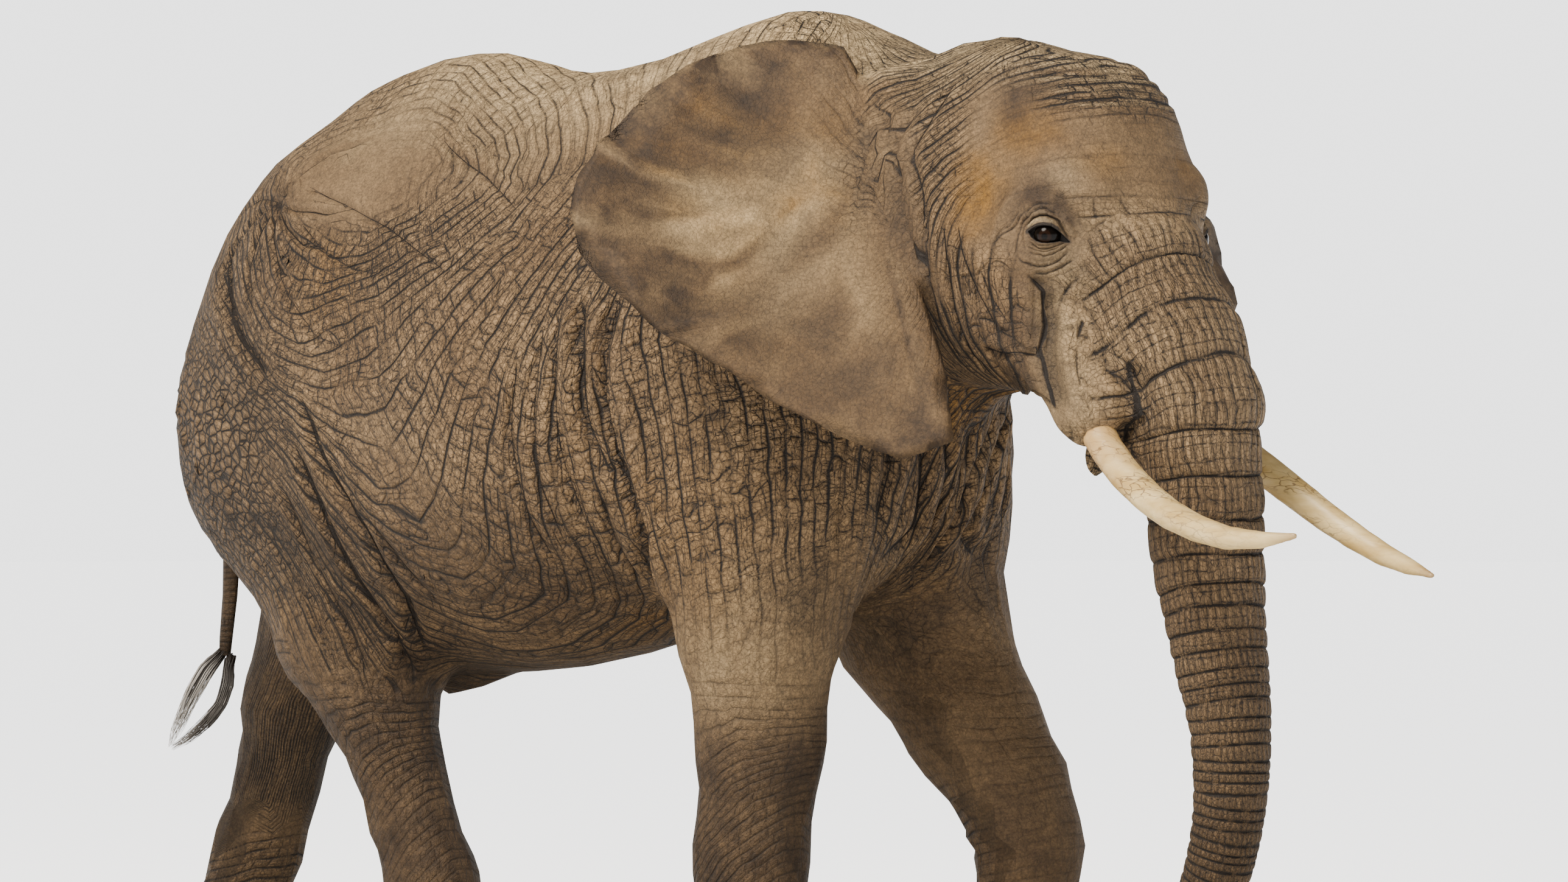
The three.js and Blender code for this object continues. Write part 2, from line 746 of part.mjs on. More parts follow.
function makeJaw() {
  const slit = block(
    [MOUTH.corner, -FAR, MOUTH.z - MOUTH.slit], [FAR, FAR, MOUTH.z + MOUTH.slit],
    [MOUTH.x, 0, MOUTH.z], MOUTH.lean,
  );
  const flesh = headFlesh([300, -260, 1540], [800, 260, 1980], CELL.jaw);
  const rim = [
    [575, 66, 1805], [640, 54, 1765], [686, 22, 1728],
    [686, -22, 1728], [640, -54, 1765], [575, -66, 1805],
  ];
  const jaw = flesh.intersect(jawSpace(GAP)).subtract(slit).add(roll(rim, 15, 10));
  const whole = headSolid(largest(jaw)).intersect(ahead(NECK_CUT.head, GAP));
  return node('jaw', whole, FLESH);
}

const head = makeHead();
makeJaw();

for (const [name, side] of Object.entries(SIDES)) {
  node(`eye_${name}`, headSolid(eyeball(side, EYE.radius)), EYE_GLOSS);
}

// ---------------------------------------------------------------- the trunk

const trunkCurve = midlineCurve(TRUNK);

// How far along the trunk's curve it reaches a height.
function trunkAt(z) {
  let low = 0;
  let high = 0.5;
  for (let turn = 0; turn < 20; turn += 1) {
    const t = (low + high) / 2;
    if (trunkCurve.getPointAt(t).z > z) low = t;
    else high = t;
  }
  return low;
}

function trunkPart(from, to) {
  const size = (t, ring) => {
    const fold = ring % 2 ? TRUNK_FOLD : 1;
    const swell = TRUNK_SWELL.more * (1 - THREE.MathUtils.smoothstep(t, 0, TRUNK_SWELL.until));
    return [
      fold * (rowValue(trunkCurve, TRUNK, 'wide', t) + swell),
      fold * (rowValue(trunkCurve, TRUNK, 'deep', t) + swell),
    ];
  };
  return solidOf(swept(trunkCurve, { ...TRUNK_MESH, size, from, to }));
}

// The tip has a long finger in front, a short one behind, and two nostrils.
function trunkTip(tube) {
  const end = trunkCurve.getPointAt(1);
  const onward = trunkCurve.getTangentAt(1);
  const fore = new THREE.Vector3(0, 1, 0).cross(onward).normalize();
  const place = (along, forward, y) => {
    const point = end.clone().addScaledVector(onward, along).addScaledVector(fore, forward);
    return [point.x, y, point.z];
  };
  const finger = (forward, reach, thick) => {
    const curve = curveThrough([
      place(-60, forward, 0), place(0, forward, 0),
      place(reach * 0.6, forward * 0.9, 0), place(reach, forward * 0.6, 0),
    ]);
    const size = (t) => [thick * 1.7 * (1 - 0.75 * t * t), thick * (1 - 0.7 * t * t)];
    return solidOf(swept(curve, { rings: 5, sides: 8, size }));
  };
  const nostril = (y) => {
    const curve = curveThrough([place(-NOSTRIL.deep, 0, y), place(30, 0, y)]);
    const size = () => [NOSTRIL.radius, NOSTRIL.radius * 1.2];
    return solidOf(swept(curve, { rings: 1, sides: 8, size }));
  };
  return tube.add(finger(-38, 78, 20)).add(finger(36, 46, 18))
    .subtract(nostril(NOSTRIL.apart)).subtract(nostril(-NOSTRIL.apart));
}

function makeTrunk() {
  const headSkin = grown(head);
  const start = trunkAt(TRUNK_CUT.z - GAP);
  const space = GAP / trunkCurve.getLength();
  for (let i = 0; i < TRUNK_PARTS; i += 1) {
    const from = lerp(start, 1, i / TRUNK_PARTS);
    const to = lerp(start, 1, (i + 1) / TRUNK_PARTS) - (i < TRUNK_PARTS - 1 ? space : 0);
    let part = trunkPart(from, to);
    if (i === TRUNK_PARTS - 1) part = trunkTip(part);
    const placed = headSolid(part);
    node(`trunk_${i + 1}`, i === 0 ? placed.subtract(headSkin) : placed, FLESH);
  }
}

makeTrunk();

// -------------------------------------------------------------------- tusks

function makeTusk(name) {
  const curve = curveThrough(TUSKS[name]);
  const size = (t) => {
    const girth = TUSK_RADIUS.root * (1 - 0.25 * t) * Math.sqrt(1 - t ** 4);
    const radius = Math.max(girth, TUSK_RADIUS.tip);
    return [radius, radius];
  };
  const tusk = headSolid(solidOf(swept(curve, { rings: 10, sides: 9, size })));
  node(`tusk_${name}`, tusk.subtract(grown(head)), IVORY);
}

Object.keys(SIDES).forEach(makeTusk);

// --------------------------------------------------------------------- ears

const earOutline = new THREE.CatmullRomCurve3(
  EAR_OUTLINE.map(([out, up]) => new THREE.Vector3(out, up, 0)), true,
).getSpacedPoints(240);

// Distance from the middle of the ear to its outline, in one direction.
function earReach(angle) {
  const turn = (point) => {
    const away = Math.atan2(point.y - EAR_MIDDLE[1], point.x - EAR_MIDDLE[0]) - angle;
    return Math.abs(Math.atan2(Math.sin(away), Math.cos(away)));
  };
  const nearest = earOutline.reduce((best, point) => (turn(point) < turn(best) ? point : best));
  return Math.hypot(nearest.x - EAR_MIDDLE[0], nearest.y - EAR_MIDDLE[1]);
}

// Axes of the ear: up along its root, out towards its rear edge, and outward.
function earAxes(side, spread) {
  const top = new THREE.Vector3(EAR_ROOT.top[0], side * EAR_ROOT.top[1], EAR_ROOT.top[2]);
  const low = new THREE.Vector3(EAR_ROOT.low[0], side * EAR_ROOT.low[1], EAR_ROOT.low[2]);
  const up = top.clone().sub(low).normalize();
  const angle = THREE.MathUtils.degToRad(spread);
  const rear = new THREE.Vector3(-Math.cos(angle), side * Math.sin(angle), -0.17);
  const out = rear.addScaledVector(up, -rear.dot(up)).normalize();
  const outward = new THREE.Vector3().crossVectors(out, up).multiplyScalar(-side);
  return { root: top.add(low).multiplyScalar(0.5), up, out, outward };
}

function makeEar(name) {
  const side = SIDES[name];
  const { root, up, out, outward } = earAxes(side, EAR_SPREAD[name]);
  const geometry = new THREE.SphereGeometry(1, 34, 10);
  geometry.rotateX(Math.PI / 2);
  const position = geometry.attributes.position;
  for (let i = 0; i < position.count; i += 1) {
    const angle = Math.atan2(position.getY(i), position.getX(i));
    const across = Math.min(Math.hypot(position.getX(i), position.getY(i)), 1);
    const face = position.getZ(i);
    const reach = earReach(angle) * across;
    const outBy = EAR_MIDDLE[0] + reach * Math.cos(angle);
    const upBy = EAR_MIDDLE[1] + reach * Math.sin(angle);
    const rim = THREE.MathUtils.clamp(outBy / 800, 0, 1);
    const thick = lerp(EAR_THICK.root, EAR_THICK.rim, Math.sqrt(rim)) * 0.5;
    const swell = EAR_SHAPE.swell * Math.sin(Math.PI * Math.min(rim * 1.1, 1));
    const curl = -EAR_SHAPE.curl * THREE.MathUtils.smoothstep(upBy, 480, 740) * rim;
    const wave = EAR_SHAPE.wave * rim * across * Math.sin(EAR_SHAPE.waves * angle);
    const lift = swell + curl + wave + Math.sign(face) * Math.sqrt(Math.abs(face)) * thick;
    const point = root.clone().addScaledVector(out, outBy).addScaledVector(up, upBy)
      .addScaledVector(outward, lift);
    position.setXYZ(i, point.x, point.y, point.z);
  }
  const inOrder = side === RIGHT ? geometry : turnedInsideOut(geometry);
  const ear = headSolid(solidOf(inOrder));
  node(`ear_${name}`, ear.subtract(grown(head)).subtract(grown(neck)).subtract(grown(torso)), FLESH);
}

function turnedInsideOut(geometry) {
  const index = geometry.index;
  for (let i = 0; i < index.count; i += 3) {
    const second = index.getX(i + 1);
    index.setX(i + 1, index.getX(i + 2));
    index.setX(i + 2, second);
  }
  return geometry;
}

Object.keys(SIDES).forEach(makeEar);

// --------------------------------------------------------------------- tail

// Numbers from 0 to 1 that look random and are the same each run.
function scatter(i, kind) {
  const value = Math.sin(i * 12.9898 + kind * 78.233) * 43758.5453;
  return value - Math.floor(value);
}

function makeTail() {
  const curve = midlineCurve(TAIL);
  const size = (t) => {
    const radius = rowValue(curve, TAIL, 'radius', t);
    return [radius * 0.85, radius];
  };
  const tail = solidOf(swept(curve, { rings: 14, sides: 8, size }));
  return node('tail', tail.subtract(grown(torso)), FLESH);
}

// Flat locks that grow from both edges and the end of the tail and swing back.
function makeTuft() {
  const last = TAIL[TAIL.length - 1];
  const core = curveThrough([
    [last.x, 0, last.z - GAP], [last.x - 9, 0, last.z - TUFT.core / 2], [last.x - 25, 0, last.z - TUFT.core],
  ]);
  const coreSize = (t) => [last.radius * 0.85 * (1 - 0.6 * t), last.radius * (1 - 0.6 * t)];
  let tuft = solidOf(swept(core, { rings: 2, sides: 6, size: coreSize }));
  for (let i = 0; i < TUFT.locks; i += 1) {
    const start = 0.15 + 0.8 * scatter(i, 1);
    const root = core.getPointAt(start);
    const turn = (i / TUFT.locks) * 2 * Math.PI;
    const length = TUFT.length * (0.65 + 0.35 * scatter(i, 2)) * (1 - 0.25 * start);
    const spreadX = Math.cos(turn) * (20 + 26 * scatter(i, 3));
    const spreadY = Math.sin(turn) * (22 + 30 * scatter(i, 4));
    const curve = curveThrough([
      [root.x, 0, root.z],
      [root.x - length * 0.1 + spreadX * 0.5, spreadY * 0.5, root.z - length * 0.35],
      [root.x - length * 0.32 + spreadX, spreadY, root.z - length * 0.7],
      [root.x - length * 0.62 + spreadX, spreadY * 0.9, root.z - length * 0.92],
    ]);
    const size = (t) => [TUFT.wide * (1 - 0.85 * t) * 0.5, TUFT.thick * (1 - 0.7 * t) * 0.5];
    const side = [Math.cos(turn + 0.6), Math.sin(turn + 0.6), 0];
    tuft = tuft.add(solidOf(swept(curve, { rings: 3, sides: 4, size, side })));
  }
  node('tail_tuft', tuft.subtract(block([-FAR, -FAR, last.z - GAP], [FAR, FAR, FAR])), BRISTLE);
}

makeTail();
makeTuft();

// The origin is on the floor, in the middle of the whole animal.
const whole = new THREE.Box3().setFromObject(elephant);
const middle = whole.getCenter(new THREE.Vector3());
elephant.position.set(-middle.x, -middle.y, 0);

export default elephant;
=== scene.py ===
"""A young bull of the African bush elephant in mid-stride, life size.

One skin is drawn over the fleshy nodes of the frame, smoothed, folded and
creased along the lines that an elephant's hide follows. Eyes, tusks and nails
are pieces of their own, and the tail carries a tuft of flat wiry strands.
"""
import math

import bmesh
import bpy
import numpy as np
from mathutils import Matrix, Vector, bvhtree


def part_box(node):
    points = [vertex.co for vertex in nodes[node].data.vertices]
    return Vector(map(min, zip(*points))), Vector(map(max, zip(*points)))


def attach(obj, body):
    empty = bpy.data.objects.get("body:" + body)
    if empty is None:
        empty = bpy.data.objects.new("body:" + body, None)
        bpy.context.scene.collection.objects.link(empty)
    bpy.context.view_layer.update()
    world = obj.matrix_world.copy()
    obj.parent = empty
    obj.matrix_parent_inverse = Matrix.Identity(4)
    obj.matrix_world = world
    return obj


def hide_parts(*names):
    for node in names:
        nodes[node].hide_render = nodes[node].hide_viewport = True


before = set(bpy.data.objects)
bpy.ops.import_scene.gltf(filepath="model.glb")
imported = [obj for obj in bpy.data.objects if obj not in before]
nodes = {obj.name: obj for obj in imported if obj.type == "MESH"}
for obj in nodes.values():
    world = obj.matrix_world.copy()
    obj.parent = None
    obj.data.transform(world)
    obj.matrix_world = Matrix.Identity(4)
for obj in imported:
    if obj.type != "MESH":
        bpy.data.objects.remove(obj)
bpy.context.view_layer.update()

scene = bpy.context.scene

# ------------------------------------------------------------------ sizes, m

ORIGIN = np.array([0.4544, 0.0443, 0.0])     # the spine's own origin, from the frame's
PIVOT = 1.150                                # the head turns about this upright line
TURN = math.radians(-15)
MESH = 0.009                                 # the weave of the skin before it is thinned
SWOLLEN = 0.002                              # each node swells this much, to meet the next
SKIN_FACES = 190000

MOUTH_LEAN = math.radians(25)

# The line along the middle of nose and trunk, in the head's frame: forward and up.
TRUNK_LINE = np.array([
    (0.640, 2.330), (0.760, 2.120), (0.862, 1.960), (0.930, 1.860), (0.985, 1.740), (1.012, 1.560),
    (1.022, 1.400), (1.062, 1.180), (1.106, 0.960), (1.100, 0.760), (1.048, 0.590), (0.950, 0.430),
    (0.812, 0.320), (0.680, 0.300), (0.600, 0.300),
])

# Legs: how far the middle line lies to the left, and its places from the top
# down: x and z.
LEGS = {
    "front_right": (-0.295, [(0.795, 1.18), (0.806, 0.88), (0.775, 0.60), (0.778, 0.30), (0.795, 0.09)]),
    "front_left": (0.295, [(0.892, 1.166), (1.056, 0.913), (1.236, 0.61), (1.212, 0.30), (1.210, 0.09)]),
    "hind_right": (-0.295, [(-0.57, 1.13), (-0.424, 0.78), (-0.38, 0.65), (-0.245, 0.25), (-0.195, 0.08)]),
    "hind_left": (0.295, [(-1.15, 1.22), (-1.34, 0.90), (-1.405, 0.663), (-1.575, 0.25), (-1.59, 0.08)]),
}

# ------------------------------------------------------- the camera and stage

AIM = Vector((0.203, -0.044, 1.658))
AZIMUTH = math.radians(37)
DISTANCE = 14.0
SENSOR = 36.0                                # mm, as is the focal length
FOCAL_LENGTH = 122.5


def make_camera():
    lens = bpy.data.cameras.new("camera")
    lens.sensor_width = SENSOR
    lens.lens = FOCAL_LENGTH
    camera = bpy.data.objects.new("camera", lens)
    back = Vector((math.sin(AZIMUTH), -math.cos(AZIMUTH), 0.0))
    camera.location = AIM + back * DISTANCE
    camera.rotation_euler = back.to_track_quat("Z", "Y").to_euler()
    scene.collection.objects.link(camera)
    scene.camera = camera


def piece_of(name, form):
    mesh = bpy.data.meshes.new(name)
    form.to_mesh(mesh)
    form.free()
    made = bpy.data.objects.new(name, mesh)
    scene.collection.objects.link(made)
    return made


# ------------------------------------------------------- smooth fields, numpy


def ramp(low, high, value):
    t = np.clip((value - low) / (high - low), 0.0, 1.0)
    return t * t * (3 - 2 * t)


def bump_at(value, centre, half):
    """1 at the centre, falling to 0 half a width away."""
    return ramp(half, 0.0, np.abs(value - centre))


def scramble(cells, seed):
    """A number from 0 to 1 for each whole-number cell."""
    h = cells[..., 0] * 374761393 + cells[..., 1] * 668265263
    h = h + cells[..., 2] * 1274126177 + seed * 974634777
    h = (h ^ (h >> 13)) * 1103515245 & 0x7FFFFFFF
    h = (h ^ (h >> 16)) * 12345679 & 0x7FFFFFFF
    return (h & 0xFFFFF) / float(0xFFFFF)


def cloud(points, size=1.0, seed=0):
    """Smooth noise from -1 to 1 with lumps of that size."""
    q = points / size
    cell = np.floor(q).astype(np.int64)
    f = q - cell
    f = f * f * f * (f * (f * 6 - 15) + 10)
    total = np.zeros(len(points))
    for corner in range(8):
        step = np.array([corner & 1, corner >> 1 & 1, corner >> 2 & 1])
        share = np.prod(np.where(step, f, 1 - f), axis=1)
        total += share * scramble(cell + step, seed)
    return 2 * total - 1


def cracks(points, size=1.0, seed=0):
    """Distance to the nearest edge between scattered cells, from 0 to about 0.5."""
    q = points / size
    cell = np.floor(q).astype(np.int64)
    first = np.full(len(points), 9.0)
    second = np.full(len(points), 9.0)
    for i in (-1, 0, 1):
        for j in (-1, 0, 1):
            for k in (-1, 0, 1):
                near = cell + np.array([i, j, k])
                spot = np.stack([near[:, a] + scramble(near, seed + a) for a in range(3)], axis=1)
                away = np.linalg.norm(spot - q, axis=1)
                second = np.minimum(second, np.maximum(first, away))
                first = np.minimum(first, away)
    return (second - first) / 2


def to_head(p):
    """Body coordinates seen in the frame of the turned head."""
    x = p[:, 0] - PIVOT
    c, s = math.cos(TURN), math.sin(TURN)
    return np.stack([x * c + p[:, 1] * s, p[:, 1] * c - x * s, p[:, 2]], axis=1)


def from_head(q):
    c, s = math.cos(TURN), math.sin(TURN)
    return np.stack([PIVOT + q[:, 0] * c - q[:, 1] * s, q[:, 1] * c + q[:, 0] * s, q[:, 2]], axis=1)


# ----------------------------------------------------------- weaving the skin


def is_flesh(name):
    return not name.startswith(("nail", "tusk", "tail_tuft", "eye"))


FLESH = sorted(name for name in nodes if is_flesh(name))


def swell_of(name):
    """Thin sheets and the jaw are swollen more, so that the weave holds them."""
    return 0.007 if name == "jaw" else 0.006 if name.startswith("ear") else SWOLLEN


def gathered(names):
    """The named nodes, each closed and a little swollen, in one bmesh."""
    form = bmesh.new()
    for name in names:
        part = bmesh.new()
        part.from_mesh(nodes[name].data)
        bmesh.ops.remove_doubles(part, verts=part.verts, dist=1e-5)
        part.normal_update()
        for vert in part.verts:
            vert.co += vert.normal * swell_of(name)
        mesh = bpy.data.meshes.new("part")
        part.to_mesh(mesh)
        part.free()
        form.from_mesh(mesh)
        bpy.data.meshes.remove(mesh)
    return form


def finished(piece):
    """Applies the live modifiers of a piece to its mesh."""
    graph = bpy.context.evaluated_depsgraph_get()
    mesh = bpy.data.meshes.new_from_object(piece.evaluated_get(graph))
    old = piece.data
    piece.modifiers.clear()
    piece.data = mesh
    bpy.data.meshes.remove(old)
    mesh.name = piece.name


def woven(names, lobes=(), title="skin", size=MESH):
    """One closed sheet over the named nodes and the lobes between them."""
    form = gathered(names)
    for middle, radii in lobes:
        place = Vector(from_head(np.array([middle]))[0] - ORIGIN)
        stretch = Matrix.Translation(place) @ Matrix.Rotation(TURN, 4, "Z") @ Matrix.Diagonal((*radii, 1))
        bmesh.ops.create_uvsphere(form, u_segments=24, v_segments=12, radius=1.0, matrix=stretch)
    skin = piece_of(title, form)
    remesh = skin.modifiers.new("weave", "REMESH")
    remesh.mode = "VOXEL"
    remesh.voxel_size = size
    finished(skin)
    return skin


def coordinates(mesh):
    co = np.zeros(len(mesh.vertices) * 3)
    mesh.vertices.foreach_get("co", co)
    return co.reshape(-1, 3)


def normals(mesh):
    co = np.zeros(len(mesh.vertices) * 3)
    mesh.vertex_normals.foreach_get("vector", co)
    return co.reshape(-1, 3)


def set_coordinates(mesh, co):
    mesh.vertices.foreach_set("co", co.ravel())
    mesh.update()


class Weave:
    """The neighbours of each vertex, for smoothing places and values."""

    def __init__(self, mesh):
        pairs = np.zeros(len(mesh.edges) * 2, dtype=np.int64)
        mesh.edges.foreach_get("vertices", pairs)
        self.a, self.b = pairs.reshape(-1, 2).T
        self.count = len(mesh.vertices)
        ones = np.bincount(self.a, minlength=self.count) + np.bincount(self.b, minlength=self.count)
        self.degree = np.maximum(ones, 1)

    def mean(self, values):
        ahead = np.bincount(self.a, values[self.b], self.count)
        behind = np.bincount(self.b, values[self.a], self.count)
        return (ahead + behind) / self.degree

    def smooth(self, values, rounds, weight=0.5):
        for _ in range(rounds):
            values = values + weight * (self.mean(values) - values)
        return values

    def relax(self, co, reach):
        """Smooths places: reach gives the rounds for each vertex."""
        columns = [co[:, k].copy() for k in range(3)]
        for turn in range(int(reach.max())):
            share = np.clip(reach - turn, 0, 1) * 0.5
            columns = [c + share * (self.mean(c) - c) for c in columns]
        return np.stack(columns, axis=1)


# --------------------------------------------------- charts of flank and face
#
# Both sides of the body share one chart, unrolled from the spine to the belly
# and round the rump and the chest: how far forward, and how high. The face has
# a chart of its own, unrolled round the upright middle of the head.


def body_chart(p):
    x, y, z = p[:, 0], np.abs(p[:, 1]), p[:, 2]
    high = 1.9 + 0.65 * np.arctan2(z - 1.9, y)
    rear = np.arctan2(-(x + 0.75), y)
    fore = np.arctan2(x - 0.85, y)
    along = np.where(x < -0.75, -0.75 - 0.45 * rear, np.where(x > 0.85, 0.85 + 0.40 * fore, x))
    turned = ramp(0.3, 1.2, np.maximum(np.where(x < -0.75, rear, 0), np.where(x > 0.85, fore, 0)))
    return np.stack([along, high * (1 - turned) + z * turned], axis=1)


def face_chart(q):
    around = np.arctan2(np.abs(q[:, 1]), q[:, 0] - 0.35)
    return np.stack([0.35 + 0.30 * (math.pi / 2 - around), q[:, 2]], axis=1)


# The run of the creases: forward, up, their slope in degrees, the distance
# from one to the next, and from one cross crease to the next (mm). The count
# rises to the left of the slope, which turns once round the hip.
BODY_RUN = [
    (-0.50, 2.63, 8, 34, 50), (-0.09, 2.67, -25, 44, 66), (0.15, 2.62, -55, 40, 61),
    (0.60, 2.70, -60, 34, 44), (-0.44, 2.03, -151, 50, 55), (-0.18, 2.20, -151, 46, 55),
    (0.08, 2.07, -146, 48, 50), (0.31, 2.28, -135, 34, 33), (0.33, 2.00, -120, 40, 50),
    (0.44, 1.88, -100, 36, 61), (-0.09, 1.67, -134, 46, 50), (0.12, 1.67, -118, 42, 44),
    (0.27, 1.58, -90, 36, 55), (0.50, 1.60, -82, 34, 50), (0.50, 1.30, -80, 32, 44),
    (-0.37, 1.58, -222, 42, 77), (-0.24, 1.37, -218, 36, 72), (-0.18, 1.22, -212, 34, 50),
    (0.00, 1.13, -190, 32, 44), (0.13, 1.16, -160, 30, 44), (0.36, 1.16, -130, 30, 33),
    (0.36, 1.38, -82, 34, 50), (-0.88, 1.63, -190, 28, 34), (-0.67, 1.57, -210, 28, 30),
    (-0.77, 1.90, -240, 32, 34), (-0.73, 2.19, -250, 34, 44), (-0.51, 2.17, -222, 42, 61),
    (-0.51, 1.40, -230, 26, 36), (-0.40, 1.18, -240, 25, 30), (0.58, 1.81, -45, 29, 32),
    (0.69, 1.63, -60, 28, 30), (0.77, 1.50, -76, 28, 30), (0.91, 1.38, -86, 29, 32),
    (1.06, 1.31, -90, 29, 32), (0.62, 1.35, -65, 26, 30), (0.85, 1.80, -70, 30, 32),
    (1.00, 2.30, -118, 30, 44), (1.10, 2.00, -104, 30, 50), (0.90, 2.60, -110, 34, 38),
    (1.45, 1.48, -105, 30, 50), (1.38, 1.62, -108, 30, 50), (1.30, 1.20, -118, 30, 33),
    (-1.10, 1.60, -180, 28, 32), (-1.20, 1.90, -200, 30, 36), (-1.10, 2.30, -280, 36, 33),
]
FACE_RUN = [
    (0.80, 2.50, 2, 17, 70), (0.80, 2.30, 0, 26, 60), (0.80, 2.05, -4, 36, 46), (0.80, 1.85, -4, 36, 46),
    (0.70, 2.50, 12, 17, 60), (0.70, 2.30, 6, 22, 60), (0.70, 2.05, 24, 30, 40),
    (0.72, 1.90, 50, 24, 44), (0.68, 1.78, 84, 22, 60), (0.50, 2.38, 30, 20, 60),
    (0.40, 2.60, 34, 18, 60), (0.60, 2.62, 8, 17, 60), (0.10, 2.50, 62, 18, 90),
    (0.18, 2.30, 66, 17, 90), (0.22, 2.10, 80, 26, 120), (0.22, 1.90, 98, 26, 90),
    (0.38, 2.10, 88, 24, 120), (0.38, 1.92, 104, 24, 100), (0.48, 1.86, 128, 22, 80),
    (0.56, 1.84, 146, 20, 60), (0.48, 2.08, 104, 24, 120), (0.56, 2.02, 116, 24, 90),
    (0.64, 1.98, 86, 22, 60), (0.60, 1.74, 140, 20, 50),
]


class Run:
    """Two counts over a chart, grown so that creases follow the given slopes.

    The first counts creases across their run and the second cross creases
    along it. Both are relaxed on a grid until their slope fits everywhere.
    The distances from crease to crease, in mm, follow them.
    """

    def __init__(self, keys, low, high, forward, step=0.03):
        self.low, self.step = np.array(low), step
        across, up = (int((high[k] - low[k]) / step) + 1 for k in (0, 1))
        x, z = np.meshgrid(low[0] + step * np.arange(across), low[1] + step * np.arange(up), indexing="ij")
        keys = np.array(keys)
        away = np.hypot(x[..., None] - keys[:, 0], z[..., None] - keys[:, 1])
        near = 1 / (away ** 2 + 0.05 ** 2) ** 1.5
        near /= near.sum(-1, keepdims=True)
        slope = np.radians(keys[:, 2])
        ways = np.stack([np.cos(slope), np.sin(slope)], axis=1)
        ahead = ways * np.sign(np.einsum("ij,ij->i", ways, forward(keys[:, 0])))[:, None]
        apart, length = near @ keys[:, 3], near @ keys[:, 4]
        across, apart = self.grown(near @ np.stack([-ways[:, 1], ways[:, 0]], axis=1), 1000 / apart)
        along, length = self.grown(near @ ahead, 1000 / length)
        self.fields = [across, along, apart, length]

    def grown(self, way, wanted):
        """A count that rises along the given ways, and its distances in mm.

        No count can keep every way and every distance, so the ways are kept and
        the distances give, within limits.
        """
        dx, dz = np.moveaxis(way / np.maximum(np.linalg.norm(way, axis=-1, keepdims=True), 1e-6), -1, 0)
        rate = wanted.copy()
        value = np.zeros(dx.shape)
        for _ in range(8):
            value = self.relaxed(value, dx * rate, dz * rate, 1600)
            gx, gz = np.gradient(value, self.step)
            kept = gx * dx + gz * dz
            rate = np.clip(kept * (wanted.mean() / max(kept.mean(), 1e-6)), 0.6 * wanted, 1.8 * wanted)
        return value, 1000 / np.clip(np.hypot(gx, gz), 0.4 * wanted, 2.5 * wanted)

    def relaxed(self, value, gx, gz, rounds):
        gx = (gx[1:] + gx[:-1]) / 2 * self.step
        gz = (gz[:, 1:] + gz[:, :-1]) / 2 * self.step
        count = np.zeros(value.shape)
        source = np.zeros(value.shape)
        count[1:] += 1
        count[:-1] += 1
        count[:, 1:] += 1
        count[:, :-1] += 1
        source[1:] += gx
        source[:-1] -= gx
        source[:, 1:] += gz
        source[:, :-1] -= gz
        for _ in range(rounds):
            total = source.copy()
            total[1:] += value[:-1]
            total[:-1] += value[1:]
            total[:, 1:] += value[:, :-1]
            total[:, :-1] += value[:, 1:]
            value = total / count
        return value

    def at(self, chart):
        spot = (chart - self.low) / self.step
        top = np.array(self.fields[0].shape) - 1.001
        spot = np.clip(spot, 0, top)
        i, j = spot.astype(int).T
        s, t = (spot - np.floor(spot)).T
        low = [f[i, j] * (1 - s) + f[i + 1, j] * s for f in self.fields]
        high = [f[i, j + 1] * (1 - s) + f[i + 1, j + 1] * s for f in self.fields]
        return np.stack([a * (1 - t) + b * t for a, b in zip(low, high)], axis=1)


FAR = 9.0                                    # distances stop here, in the unit of the points


def along_line(points, line):
    """Distance from a line, up to FAR, which side, and how far along it from 0 to 1."""
    line = np.array(line)
    legs = np.linalg.norm(np.diff(line, axis=0), axis=1)
    start = np.concatenate([[0], np.cumsum(legs)])
    best = np.full(len(points), FAR)
    side = np.zeros(len(points))
    travelled = np.zeros(len(points))
    for k, leg in enumerate(legs):
        way = (line[k + 1] - line[k]) / leg
        gap = points - line[k]
        t = np.clip(gap @ way, 0, leg)
        off = gap - t[:, None] * way
        away = np.linalg.norm(off, axis=1)
        near = away < best
        best = np.where(near, away, best)
        if len(way) == 2:
            side = np.where(near, np.sign(way[0] * off[:, 1] - way[1] * off[:, 0]), side)
        travelled = np.where(near, start[k] + t, travelled)
    return best, side, travelled / start[-1]


def fold(chart, line, width, depth, lip=0.45, step=0.0):
    """A crease along a line, with a soft lip on both sides. Width and depth in mm."""
    width, depth = width / 1000, depth / 1000
    low, high = np.min(line, axis=0) - 8 * width, np.max(line, axis=0) + 8 * width
    near = ((chart > low) & (chart < high)).all(axis=1)
    away, side, share = along_line(chart[near], line)
    ends = ramp(0.0, 0.18, share) * ramp(1.0, 0.82, share)
    crease = -np.exp(-(away / width) ** 2)
    roll = lip * np.exp(-((away - 2.4 * width) / (1.5 * width)) ** 2)
    raised = step * side * np.exp(-(away / (4 * width)) ** 2)
    total = np.zeros(len(chart))
    total[near] = depth * (crease + roll + raised) * ends
    return total


def folds_of(chart, rows):
    return sum(fold(chart, *row) for row in rows)


